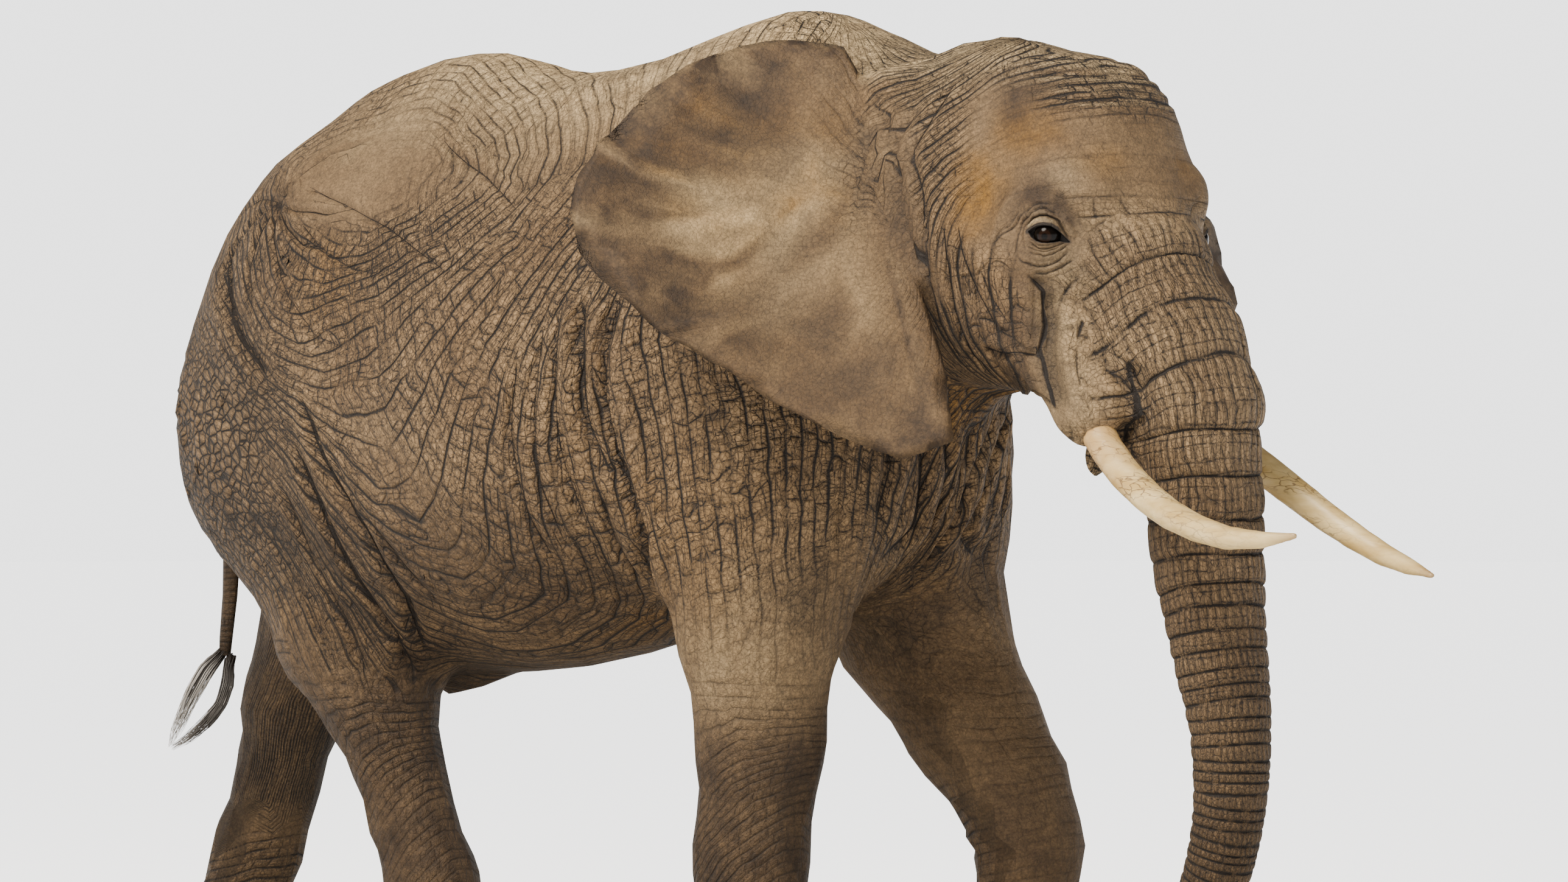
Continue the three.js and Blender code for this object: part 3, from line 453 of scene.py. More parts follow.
# Great folds of the body, in its chart: line, width, depth, lip, step to its left.
BODY_FOLDS = [
    ([(-0.72, 2.36), (-0.62, 2.33), (-0.50, 2.31), (-0.40, 2.32)], 8, 8, 0.5, 0.0),
    ([(-0.72, 2.37), (-0.64, 2.28), (-0.56, 2.22), (-0.46, 2.20)], 8, 9, 0.5, 0.0),
    ([(-0.71, 2.38), (-0.69, 2.26), (-0.64, 2.16), (-0.56, 2.10)], 8, 8, 0.5, 0.0),
    ([(-0.70, 2.38), (-0.75, 2.28), (-0.76, 2.16), (-0.72, 2.04)], 8, 7, 0.5, 0.0),
    ([(-0.69, 2.37), (-0.78, 2.34), (-0.85, 2.26), (-0.90, 2.14)], 9, 8, 0.5, 0.0),
    ([(-0.68, 2.36), (-0.80, 2.40), (-0.92, 2.38)], 9, 7, 0.5, 0.0),
    ([(-0.72, 2.34), (-0.67, 2.44), (-0.58, 2.51), (-0.46, 2.54)], 8, 6, 0.5, 0.0),
    ([(0.43, 2.06), (0.45, 1.84), (0.46, 1.70), (0.50, 1.57), (0.55, 1.52)], 19, 18, 0.7, 0.0),
    ([(0.56, 2.08), (0.52, 1.90), (0.52, 1.74), (0.55, 1.58), (0.58, 1.40), (0.51, 1.20)], 20, 22, 0.8, 0.5),
    ([(0.38, 2.05), (0.37, 1.80), (0.38, 1.60), (0.41, 1.40)], 12, 9, 0.6, 0.0),
    ([(0.33, 1.98), (0.31, 1.76), (0.31, 1.55), (0.34, 1.36)], 11, 8, 0.6, 0.0),
    ([(0.26, 1.90), (0.24, 1.70), (0.25, 1.50), (0.29, 1.32)], 10, 7, 0.6, 0.0),
    ([(0.47, 1.50), (0.46, 1.36), (0.48, 1.24)], 10, 9, 0.6, 0.0),
    ([(-0.52, 1.80), (-0.42, 1.60), (-0.30, 1.44), (-0.25, 1.28), (-0.30, 1.10)], 14, 12, 0.6, -0.3),
    ([(-0.44, 1.70), (-0.34, 1.55), (-0.22, 1.40), (-0.12, 1.26)], 10, 7, 0.6, 0.0),
    ([(-0.54, 1.66), (-0.46, 1.50), (-0.40, 1.36), (-0.33, 1.20), (-0.34, 1.08)], 13, 13, 0.6, -0.3),
    ([(-0.60, 1.56), (-0.52, 1.38), (-0.44, 1.24), (-0.40, 1.12)], 10, 8, 0.5, 0.0),
    ([(-0.62, 2.40), (-0.45, 2.34), (-0.26, 2.26), (0.01, 2.10)], 9, 6, 0.5, 0.0),
    ([(-0.22, 2.55), (-0.10, 2.48), (0.01, 2.42), (0.16, 2.31)], 8, 5, 0.5, 0.0),
    ([(-0.89, 2.28), (-0.83, 2.08), (-0.76, 1.94), (-0.62, 1.80)], 20, 12, 0.4, -0.4),
    ([(-0.66, 2.20), (-0.58, 2.06), (-0.46, 1.94), (-0.33, 1.90)], 9, 5, 0.5, 0.0),
    ([(-0.60, 2.30), (-0.48, 2.20), (-0.36, 2.14), (-0.24, 2.12)], 9, 5, 0.5, 0.0),
    ([(1.02, 2.62), (0.98, 2.40), (1.02, 2.18), (1.10, 1.96), (1.12, 1.78)], 14, 10, 0.6, 0.0),
    ([(1.12, 2.55), (1.10, 2.34), (1.14, 2.10), (1.20, 1.90)], 12, 9, 0.6, 0.0),
    ([(1.26, 1.78), (1.32, 1.62), (1.34, 1.44), (1.22, 1.30)], 14, 14, 0.7, 0.0),
    ([(1.36, 1.76), (1.42, 1.58), (1.42, 1.40), (1.34, 1.26)], 13, 13, 0.7, 0.0),
    ([(1.18, 1.70), (1.22, 1.54), (1.18, 1.36)], 13, 11, 0.6, 0.0),
]

# Great folds of the face, in its chart. The cheek's is the first, and the seam
# along the ear's root the second.
FACE_FOLDS = [
    ([(0.605, 2.07), (0.635, 2.02), (0.640, 1.94), (0.632, 1.88), (0.640, 1.82), (0.652, 1.72)],
     15, 21, 0.6, -0.7),
    ([(0.19, 2.52), (0.24, 2.46), (0.28, 2.40), (0.30, 2.33), (0.315, 2.25), (0.34, 2.18), (0.37, 2.11),
      (0.39, 2.04)], 10, 9, 0.6, 0.0),
    ([(0.30, 2.40), (0.335, 2.34), (0.365, 2.26), (0.375, 2.17)], 9, 7, 0.6, 0.0),
    ([(0.50, 1.89), (0.55, 1.875), (0.60, 1.875), (0.635, 1.865)], 8, 10, 0.7, 0.3),
    ([(0.46, 2.20), (0.48, 2.12), (0.51, 2.02), (0.55, 1.93), (0.60, 1.905)], 9, 8, 0.6, 0.0),
    ([(0.42, 2.22), (0.44, 2.09), (0.44, 1.98), (0.46, 1.87), (0.52, 1.80)], 9, 8, 0.6, 0.0),
    ([(0.38, 2.24), (0.39, 2.08), (0.39, 1.94), (0.42, 1.82)], 8, 7, 0.6, 0.0),
    ([(0.52, 2.08), (0.545, 2.00), (0.58, 1.94)], 7, 5, 0.6, 0.0),
    ([(0.733, 1.86), (0.738, 1.80), (0.744, 1.72), (0.746, 1.64)], 9, 14, 0.5, -0.4),
    ([(0.30, 2.52), (0.27, 2.38), (0.25, 2.24)], 10, 8, 0.6, 0.0),
    ([(0.36, 2.56), (0.33, 2.42), (0.30, 2.28)], 9, 7, 0.6, 0.0),
    ([(0.24, 2.50), (0.21, 2.34), (0.20, 2.20)], 10, 9, 0.6, 0.0),
    ([(0.18, 2.46), (0.15, 2.30), (0.15, 2.12), (0.17, 1.96)], 11, 9, 0.6, 0.0),
    ([(0.60, 2.61), (0.68, 2.60), (0.78, 2.60)], 7, 5, 0.5, 0.0),
    ([(0.62, 2.56), (0.70, 2.555), (0.80, 2.55)], 7, 4, 0.5, 0.0),
    ([(0.64, 2.50), (0.72, 2.49), (0.80, 2.49)], 7, 4, 0.5, 0.0),
]


# ------------------------------------------------------------- trunk and legs


def along_trunk(q):
    """Length along the trunk's middle line."""
    line = np.stack([TRUNK_LINE[:, 0], np.zeros(len(TRUNK_LINE)), TRUNK_LINE[:, 1]], axis=1)
    legs = np.linalg.norm(np.diff(line, axis=0), axis=1)
    away, _, _ = along_line(q, line)
    # a point beside a bend belongs between two legs: blend by softened distance
    weight = np.zeros(len(q))
    total = np.zeros(len(q))
    start = 0.0
    for k, leg in enumerate(legs):
        way = (line[k + 1] - line[k]) / leg
        t = (q - line[k]) @ way
        off = np.linalg.norm(q - line[k] - np.clip(t, 0, leg)[:, None] * way, axis=1)
        near = np.exp(-((off - away) / 0.02) ** 2)
        weight += near
        total += near * (start + np.clip(t, -0.05, leg + 0.05))
        start += leg
    return total / weight


# The length down the trunk in m, and how far apart the rings lie there in mm.
RING_ROWS = np.array([(0.0, 130), (0.75, 128), (1.00, 90), (1.20, 52), (1.50, 30), (1.90, 21), (2.90, 18)])


def ring_count(length):
    """How many rings lie above that length of the trunk, and how far apart they are there."""
    steps = np.linspace(0, 3.2, 641)
    apart = np.interp(steps, RING_ROWS[:, 0], RING_ROWS[:, 1]) / 1000
    counted = np.concatenate([[0], np.cumsum(0.005 / apart[:-1])])
    return np.interp(length, steps, counted), np.interp(length, steps, apart)


def leg_middle(leg, z):
    """How far forward the leg's middle line lies at that height."""
    rows = np.array(LEGS[leg][1])[::-1]
    return np.interp(z, rows[:, 1], rows[:, 0])


# The ear's root in the head's frame, at the animal's left, and how far each
# ear stands out to its side, in degrees.
EAR_TOP = (0.100, 0.330, 2.550)
EAR_LOW = (0.600, 0.450, 1.625)
EAR_SPREAD = {-1: 61, 1: 66}


# ------------------------------------------------------------ surface lookups


def surfaces():
    """A search tree over the fleshy nodes, and the node of each of its faces."""
    places, faces, owner = [], [], []
    for index, name in enumerate(FLESH):
        mesh = nodes[name].data
        base = len(places)
        places.extend(v.co.copy() for v in mesh.vertices)
        for face in mesh.polygons:
            faces.append([base + k for k in face.vertices])
            owner.append(index)
    return bvhtree.BVHTree.FromPolygons(places, faces), np.array(owner)


tree, owner = surfaces()


def nearest_node(co):
    found = [tree.find_nearest(p)[2] for p in co]
    return owner[np.array(found)]


def part_is(part, *starts):
    return np.isin(part, [i for i, name in enumerate(FLESH) if name.startswith(starts)])


def eye_centre(side):
    low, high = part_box(f"eye_{side}")
    return (low + high) / 2


EYES = {side: eye_centre(side) for side in ("right", "left")}
EYE_RADIUS = (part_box("eye_right")[1].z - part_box("eye_right")[0].z) / 2


def from_eyes(co):
    return np.min([np.linalg.norm(co - np.array(centre), axis=1) for centre in EYES.values()], axis=0)


class Places:
    """Where each vertex lies on the animal: its share in each part, and its place in each chart.

    The three shares of body, face and limbs add up to 1.
    """

    def __init__(self, mesh, soft):
        self.soft = soft
        self.weave = Weave(mesh)
        self.co = coordinates(mesh)
        self.out = normals(mesh)
        self.body = self.co + ORIGIN
        self.head = to_head(self.body)
        self.chart = body_chart(self.body)
        self.face = face_chart(self.head)
        self.part = nearest_node(self.co)
        self.on_body = self.share("torso", "neck")
        self.on_head = self.share("head", "jaw")
        self.on_trunk = self.share("trunk")
        self.on_ear = self.share("ear")
        self.on_leg = self.share("leg")
        self.on_tail = self.share("tail")
        bridge = ramp(0.655, 0.73, self.face[:, 0]) * ramp(2.26, 2.12, self.head[:, 2])
        above_lip = self.head[:, 2] - 1.62 + 0.4 * (self.head[:, 0] - 0.75)
        self.on_bridge = self.on_head * bridge * ramp(0.0, 0.12, above_lip)
        on_limb = np.clip(self.on_leg + self.on_trunk + self.on_bridge + self.on_ear + self.on_tail, 0, 1)
        on_face = np.clip(self.on_head - self.on_bridge, 0, 1)
        self.shares = [np.clip(1 - on_limb - on_face, 0, 1), on_face, on_limb]
        self.whole_trunk = np.clip(self.on_trunk + self.on_bridge, 0, 1)

    def share(self, *starts):
        return self.weave.smooth(part_is(self.part, *starts).astype(float), self.soft)


# ------------------------------------------------------------------ sculpting


HIP = (-0.70, 2.36)                          # the folds of the haunch start here, in the body's chart


def billows(across, along, turn, seed):
    """Rounded rolls with sharp valleys between, from about -0.5 to 1."""
    return np.abs(cloud(np.stack([across, along, turn], axis=1), 1.0, seed)) * 2 - 0.5


def body_relief(at):
    """Folds, rolls and pebbles of the barrel, shoulders, haunches and neck."""
    total = np.clip(folds_of(at.chart, BODY_FOLDS), -0.019, 0.016)
    across, along, _, _ = body_run.at(at.chart).T
    x, z = at.chart.T
    rolls = billows(across * 0.55, along * 0.22, 0 * x, 5)
    deep = 0.0024 + 0.0016 * bump_at(x, 0.36, 0.32) * bump_at(z, 1.66, 0.60)
    neck = 0.0040 * ramp(0.95, 1.1, x) * ramp(2.5, 2.2, z)
    groin = 0.0030 * bump_at(x, -0.45, 0.35) * bump_at(z, 1.35, 0.4)
    deep += neck + groin
    deep *= 1 - 0.75 * ramp(2.30, 2.50, z) * ramp(0.9, 0.7, x)
    total += deep * rolls
    haunch = ramp(-0.56, -0.76, x) * bump_at(z, 1.62, 0.55)
    mine = haunch > 0.01
    cells = np.zeros(len(x))
    cells[mine] = np.minimum(cracks(at.body[mine], 0.042, 3) * 3.0, 1.0) - 0.6
    total += 0.0075 * haunch * cells
    hip = at.chart - np.array(HIP)
    reach = np.linalg.norm(hip, axis=1)
    star = np.arctan2(hip[:, 1], hip[:, 0])
    rays = np.abs(np.sin(star * 6.5 + 0.8 * np.sin(star * 2)))
    total += 0.005 * ramp(0.26, 0.05, reach) * (rays - 0.7) - 0.008 * np.exp(-((reach / 0.07) ** 2))
    total += 0.004 * cloud(at.body, 0.22, 8)
    return total * at.on_body


def face_relief(at):
    """Folds of cheek, crown and lips, the temple's hollow and the brow."""
    total = np.clip(folds_of(at.face, FACE_FOLDS), -0.020, 0.015)
    across, along, _, _ = face_run.at(at.face).T
    x, z = at.face.T
    rolls = billows(across * 0.5, along * 0.3, 0 * x, 15)
    cheek = ramp(0.62, 0.50, x) * ramp(2.35, 2.10, z)
    behind = ramp(0.36, 0.26, x)
    crown = ramp(2.46, 2.56, z) * ramp(0.5, 0.6, x)
    total += (0.0014 + 0.0022 * cheek + 0.0045 * behind + 0.0020 * crown) * rolls
    total += 0.002 * cloud(at.body, 0.09, 18)
    # the temple is hollow, with the ridge of the brow before it
    total -= 0.012 * bump_at(x, 0.575, 0.10) * bump_at(z, 2.41, 0.13)
    total -= 0.009 * bump_at(x, 0.500, 0.08) * bump_at(z, 2.25, 0.12)
    total += 0.008 * bump_at(x, 0.660, 0.05) * bump_at(z, 2.33, 0.13)
    # the tusk's sheath stands proud of the cheek and ends in a flap
    total += 0.010 * bump_at(x, 0.695, 0.06) * ramp(1.98, 1.86, z) * ramp(1.66, 1.72, z)
    # the lips part along a sloping line
    q = at.head
    slope = q[:, 2] - 1.815 + math.tan(MOUTH_LEAN) * (q[:, 0] - 0.6)
    lips = np.exp(-((slope / 0.008) ** 2)) * ramp(0.53, 0.57, q[:, 0]) * ramp(0.76, 0.70, q[:, 0])
    total -= 0.016 * lips
    return total * at.on_head


def trunk_place(q):
    """Length down the trunk, the turn round it from its front, its rings and their distance."""
    length = along_trunk(q)
    legs = np.linalg.norm(np.diff(TRUNK_LINE, axis=0), axis=1)
    start = np.concatenate([[0], np.cumsum(legs)])
    x = np.interp(length, start, TRUNK_LINE[:, 0])
    z = np.interp(length, start, TRUNK_LINE[:, 1])
    dx = np.interp(length + 0.03, start, TRUNK_LINE[:, 0]) - np.interp(length - 0.03, start, TRUNK_LINE[:, 0])
    dz = np.interp(length + 0.03, start, TRUNK_LINE[:, 1]) - np.interp(length - 0.03, start, TRUNK_LINE[:, 1])
    size = np.maximum(np.hypot(dx, dz), 1e-6)
    front = ((q[:, 0] - x) * -dz + (q[:, 2] - z) * dx) / size
    turn = np.arctan2(q[:, 1], front)
    count, apart = ring_count(length)
    count = count + 0.25 + 0.16 * cloud(q, 0.16, 21) * np.minimum(apart / 0.05, 1.0)
    return length, turn, count, apart


def trunk_relief(at):
    """Rings that each overhang the next, flutes between them, and a ragged rear edge."""
    length, turn, count, apart = trunk_place(at.head)
    share = count - np.floor(count)
    near = np.minimum(share, 1 - share) * apart
    groove = np.exp(-((near / np.clip(apart * 0.06, 0.0022, 0.0055)) ** 2))
    swell = np.sin(math.pi * share) ** 0.6 * (0.75 + 0.45 * share)
    deep = np.clip(apart * 0.075, 0.0014, 0.0050)
    on = at.on_trunk + at.on_bridge
    flutes = billows(turn * 7, length * 3, count * 0.5, 23)
    upper = ramp(1.6, 0.9, length)
    lift = deep * (swell - 0.8 - 0.9 * groove * (0.6 + 0.4 * np.cos(turn))) + 0.0028 * upper * flutes
    scallops = np.abs(np.sin(count * math.pi / 2 + 1.5 * cloud(at.head, 0.1, 25)))
    rear = ramp(-0.3, -0.9, np.cos(turn)) * ramp(1.0, 1.4, length)
    lift += 0.006 * rear * (scallops - 0.5)
    return on * lift


def ear_axes(side):
    """The middle of the ear's root, then up the root, out to the rear edge, and square to the sheet."""
    top = Vector((EAR_TOP[0], side * EAR_TOP[1], EAR_TOP[2]))
    low = Vector((EAR_LOW[0], side * EAR_LOW[1], EAR_LOW[2]))
    up = (top - low).normalized()
    spread = math.radians(EAR_SPREAD[side])
    rear = Vector((-math.cos(spread), side * math.sin(spread), -0.17))
    out = (rear - up * rear.dot(up)).normalized()
    face = out.cross(up)
    return (top + low) / 2, up, out, face if face.y * side > 0 else -face


def ear_place(q, side):
    """Out from the ear's root and up along it, then the reach and turn of its rays."""
    middle, up, out, _ = ear_axes(side)
    gap = q - np.array(middle)
    along, rise = gap @ np.array(out), gap @ np.array(up)
    return along, rise, np.hypot(along + 0.10, rise - 0.05), np.arctan2(rise - 0.05, along + 0.10)


def ear_rays(co, along, rise):
    """Soft folds that spread from the top of the ear's root to its rim, and lie level low down."""
    reach, turn = np.hypot(along + 0.05, rise - 0.30), np.arctan2(rise - 0.30, along + 0.05)
    bent = 0.9 * cloud(co, 0.20, 37)
    rays = cloud(np.stack([turn * 11 + bent, reach * 2.4, 0 * turn], axis=1), 1.0, 31)
    level = cloud(np.stack([rise * 13 + bent, along * 4, 0 * turn], axis=1), 1.0, 39)
    low = ramp(-0.05, -0.35, rise)
    return (rays * ramp(0.22, 0.55, reach) * (1 - 0.6 * low) + 0.6 * level * low) * ramp(0.05, 0.2, along)


def ear_pleats(co, reach, turn):
    """Narrow pleats across the ear's rim, from -1 to 1."""
    bent = turn * 26 + 1.2 * cloud(co, 0.15, 36)
    return cloud(np.stack([bent, reach * 2.2, 0 * turn], axis=1), 1.0, 38)


def ear_bend(at):
    """Moves the ear's sheet as a whole: soft folds towards the rim, and a fold in front."""
    shift = np.zeros((len(at.co), 3))
    for side in (-1, 1):
        mine = (at.on_ear > 0.01) & (at.head[:, 1] * side > 0)
        along, rise, reach, turn = ear_place(at.head[mine], side)
        rays = ear_rays(at.head[mine], along, rise)
        lift = 0.007 * rays + 0.0070 * cloud(at.co[mine], 0.13, 35) * ramp(0.1, 0.3, reach)
        pleats = ear_pleats(at.co[mine], reach, turn)
        lift += 0.0065 * pleats * ramp(0.35, 0.60, along) * ramp(-0.25, 0.0, rise)
        lift += 0.0030 * cloud(at.co[mine], 0.05, 34) * ramp(0.2, 0.35, reach)
        lift -= 0.006 * np.exp(-(((along - 0.04) / 0.009) ** 2)) * ramp(0.15, -0.1, rise)
        sheet = from_head(np.array([ear_axes(side)[3]])) - from_head(np.zeros((1, 3)))
        shift[mine] = lift[:, None] * sheet
    return shift * at.on_ear[:, None]


def leg_relief(at):
    """Wrinkles where wrist, heel and elbow bend, and the groove over the foot's pad."""
    total = np.zeros(len(at.co))
    for name, (y, _) in LEGS.items():
        mine = (at.on_leg > 0.01) & part_is(at.part, "leg_" + name, "torso")
        mine &= np.abs(at.body[:, 1] - y) < 0.3
        p = at.body[mine]
        middle = leg_middle(name, p[:, 2])
        ahead = (p[:, 0] - middle) / 0.15
        fore = name.startswith("front")
        level = p[:, 2] / 0.030 + ahead * (0.9 if fore else -0.6)
        rolls = billows(p[:, 0] / 0.11, p[:, 1] / 0.11, level, 41)
        joint = bump_at(p[:, 2], 0.62 if name == "front_left" else 0.42 if fore else 0.34, 0.17)
        back = ramp(0.2, -0.6, ahead)
        deep = 0.0012 + 0.0050 * joint * back + 0.0020 * bump_at(p[:, 2], 0.17, 0.12)
        lift = deep * rolls
        lift -= 0.006 * np.exp(-(((p[:, 2] - 0.118) / 0.010) ** 2)) * ramp(-0.2, 0.5, ahead)
        total[mine] = lift
    return total * at.on_leg


# ---------------------------------------------------------------- eyes and lids

# Round each eye, in mm forward of its middle and above it: the opening between
# the lids, then creases and rolls, each with its width and its depth or height.
OPENING = [
    (-45, 9), (-36, 15), (-20, 20), (-4, 22), (14, 20), (27, 12), (38, 2), (48, -8), (58, -18),
    (46, -17), (34, -15), (22, -19), (8, -21), (-8, -20), (-22, -15), (-36, -4),
]
LID_CREASES = [
    ([(-60, 16), (-47, 30), (-34, 42), (-16, 47), (1, 46), (19, 39), (33, 32), (40, 16), (48, 1), (62, -20)],
     2.3, 6.5),
    ([(-62, 30), (-55, 39), (-45, 50), (-34, 59), (-16, 65), (1, 64), (16, 56), (30, 48)], 2.3, 5.0),
    ([(-60, 52), (-46, 65), (-34, 74), (-19, 77), (0, 77), (16, 72)], 2.6, 4.0),
    ([(-52, 65), (-64, 53), (-70, 42), (-77, 28), (-88, 18), (-105, 9), (-120, -1), (-134, -18)], 2.6, 4.0),
    ([(-66, 66), (-76, 54), (-84, 42), (-92, 30), (-104, 22), (-118, 12)], 2.4, 3.0),
    ([(-45, 50), (-57, 40), (-62, 30), (-66, 15), (-69, 3), (-71, -13), (-74, -33), (-76, -50)], 2.4, 4.4),
    ([(-50, 28), (-56, 21), (-59, 9), (-58, -9), (-53, -27), (-44, -38)], 1.9, 2.6),
    ([(-48, -1), (-34, -15), (-19, -25), (-1, -28), (18, -25), (36, -20)], 1.6, 2.2),
    ([(-46, -14), (-28, -28), (-10, -35), (7, -35), (25, -28), (42, -20), (54, -18)], 2.0, 4.0),
    ([(-48, -26), (-31, -36), (-10, -42), (7, -41), (25, -35), (40, -27)], 1.6, 2.4),
    ([(-49, -37), (-28, -48), (-4, -52), (19, -48), (37, -36), (52, -25), (62, -20)], 2.0, 3.4),
    ([(-42, -55), (-19, -64), (1, -64), (20, -58)], 1.8, 1.8),
    ([(-76, -50), (-58, -65), (-42, -73), (-19, -78), (0, -77), (16, -71), (33, -61), (47, -47), (60, -32)],
     2.7, 5.5),
    ([(-34, -96), (-12, -95), (6, -92), (25, -85), (45, -74), (58, -67), (74, -54)], 2.7, 4.6),
    ([(80, 62), (80, 42), (82, 18)], 3.0, 1.8),
    ([(-104, -30), (-90, -52), (-84, -76), (-74, -96)], 2.6, 2.6),
    ([(-92, -6), (-96, -22), (-94, -40)], 2.4, 2.0),
]
LID_ROLLS = [
    ([(-50, 18), (-36, 31), (-16, 36), (1, 36), (18, 31), (31, 25)], 8.0, 5.5),
    ([(-44, -8), (-22, -22), (0, -26), (20, -23), (36, -17)], 3.6, 2.2),
    ([(38, 44), (50, 28), (60, 10), (72, -8)], 14.0, 5.5),
    ([(-40, 56), (-16, 57), (8, 54)], 5.0, 3.0),
    ([(-44, -50), (-18, -57), (4, -57), (28, -47), (46, -34)], 6.0, 2.5),
    ([(-30, -87), (0, -85), (30, -74), (56, -52)], 6.0, 3.0),
]
# Hollows under the brow: forward, up, half width and depth.
BROW_HOLLOW = [(34, 66, 26, 5.0), (58, 40, 20, 2.0), (-10, 92, 30, 2.5)]
LID_REACH = 165                              # mm from the eye's middle
LID_THICKNESS = 4.5                          # mm over the eyeball
HOOD = 3.5                                   # mm more over its upper half
GAZE = {}                                    # the axes of each eye, once they are known


def eye_axes(side, co=None, out=None):
    """Outward, level and forward, and up, at that eye of the skin first given."""
    if side not in GAZE:
        near = np.linalg.norm(co - np.array(EYES[side]), axis=1) < 0.11
        n = Vector(out[near].mean(0)).normalized()
        along = Vector((0, 0, 1)).cross(n).normalized()
        along = along if along.x > 0 else -along
        rise = n.cross(along)
        GAZE[side] = [np.array(way) for way in (n, along, rise if rise.z > 0 else -rise)]
    return GAZE[side]


def eye_place(side, co, out=None):
    """Height over the eye's middle, forward and up, in mm."""
    gap = (co - np.array(EYES[side])) * 1000
    return [gap @ way for way in eye_axes(side, co, out)]


def within(points, ring):
    """Whether each point lies inside a closed line."""
    x, y = points.T
    inside = np.zeros(len(points), dtype=bool)
    for (x0, y0), (x1, y1) in zip(ring, np.roll(ring, -1, axis=0)):
        if y0 != y1:
            inside ^= ((y0 > y) != (y1 > y)) & (x < x0 + (y - y0) * (x1 - x0) / (y1 - y0))
    return inside


def lid_form(s, t):
    """How far outside the opening a place lies, up to FAR, and the sums of creases and of rolls, in mm."""
    plane = np.stack([s, t], axis=1)
    ring = np.array(OPENING, dtype=float)
    away, _, _ = along_line(plane, np.concatenate([ring, ring[:1]]))
    outside = np.where(within(plane, ring), -away, away)
    bent = plane + 1.6 * np.stack([cloud(np.stack([s, t, 0 * s], axis=1), 14, k) for k in (61, 62)], axis=1)
    creases = sum(fold(bent, line, width * 1000, deep * 1000, 0.32) for line, width, deep in LID_CREASES)
    rolls = 0
    for line, width, high in LID_ROLLS:
        away, _, share = along_line(plane, line)
        rolls = rolls + high * np.exp(-(away / width) ** 2) * ramp(0, 0.2, share) * ramp(1, 0.8, share)
    for x, y, wide, deep in BROW_HOLLOW:
        rolls = rolls - deep * np.exp(-((s - x) ** 2 + (t - y) ** 2) / wide ** 2)
    return outside, np.clip(creases, -7, 3), rolls


def open_eyes(mesh):
    """Lids over the eyeball: heavy and hooded above and before it, finely folded below."""
    co, out = coordinates(mesh), normals(mesh)
    radius = EYE_RADIUS * 1000
    for side in EYES:
        h, s, t = eye_place(side, co, out)
        near = (np.hypot(s, t) < LID_REACH) & (h > -40)
        h, s, t = h[near], s[near], t[near]
        away = np.hypot(s, t)
        outside, creases, rolls = lid_form(s, t)
        ball = np.sqrt(np.maximum(radius ** 2 - np.minimum(away, radius * 0.97) ** 2, 0))
        shell = radius + LID_THICKNESS + HOOD * ramp(0, 18, t)
        over = np.sqrt(np.maximum(shell ** 2 - np.minimum(away, shell) ** 2, 0))
        lid = np.maximum(over, h) + 2.0 * np.exp(-((over - h) / 6.0) ** 2)
        high = lid + rolls + creases * ramp(-0.5, 2.5, outside)
        sunk = ramp(0.9, -1.1, outside)
        high = high * (1 - sunk) + (ball - 8) * sunk
        co[near] += GAZE[side][0] * ((high - h) / 1000)[:, None] * ramp(160, 130, away)[:, None]
    set_coordinates(mesh, co)


# ------------------------------------------------------------------- the skin


def finer(mesh, choose):
    """Splits the edges whose two ends are chosen."""
    form = bmesh.new()
    form.from_mesh(mesh)
    form.edges.ensure_lookup_table()
    wanted = choose(coordinates(mesh))
    ends = np.zeros(len(mesh.edges) * 2, dtype=np.int64)
    mesh.edges.foreach_get("vertices", ends)
    picked = np.where(wanted[ends].reshape(-1, 2).all(axis=1))[0]
    edges = [form.edges[k] for k in picked]
    bmesh.ops.subdivide_edges(form, edges=edges, cuts=1, use_grid_fill=True, smooth=0.0)
    form.to_mesh(mesh)
    form.free()


def on_face(co):
    """The places on trunk and cheek whose relief is too fine for the first weave."""
    p = co + ORIGIN
    q = to_head(p)
    trunk = (q[:, 0] > 0.60) & (np.abs(q[:, 1]) < 0.30) & (p[:, 0] > 1.3) & (p[:, 2] > 0.2)
    cheek = (q[:, 0] > 0.34) & (q[:, 2] > 1.6) & (np.abs(q[:, 1]) < 0.36)
    return trunk | cheek


def thinned(skin, part):
    """Thins the weave where the hide is smooth, less on the face and not at the lids."""
    mesh = skin.data
    co = coordinates(mesh)
    faces = sum(len(p.vertices) - 2 for p in mesh.polygons)
    group = skin.vertex_groups.new(name="thin")
    q = to_head(co + ORIGIN)
    lower_trunk = (q[:, 0] > 0.5) & (q[:, 2] < 1.5) & (np.abs(q[:, 1]) < 0.25) & (co[:, 0] > 1.1)
    weight = np.where(lower_trunk, 0.35, np.where(on_face(co), 0.6, 1.0))
    weight = np.where(folded(co, part), 0.7, weight)
    weight = np.where(from_eyes(co) < 0.110, 0.3, weight)
    weight = np.where(from_eyes(co) < 0.060, 0.0, weight)
    for value in np.unique(weight):
        group.add(np.where(weight == value)[0].tolist(), float(value), "REPLACE")
    modifier = skin.modifiers.new("thin", "DECIMATE")
    modifier.ratio = SKIN_FACES / faces
    modifier.vertex_group = "thin"
    modifier.vertex_group_factor = 0.6
    finished(skin)
    skin.vertex_groups.clear()


# Small lobes of flesh that join the skin, at the roots of the tusks and at the
# lower lip: middle in the head's frame, and radii.
LOBES = [
    ((0.885, -0.108, 1.648), (0.060, 0.042, 0.062)), ((0.885, 0.108, 1.648), (0.060, 0.042, 0.062)),
    ((0.618, 0.0, 1.622), (0.026, 0.042, 0.060)),
]


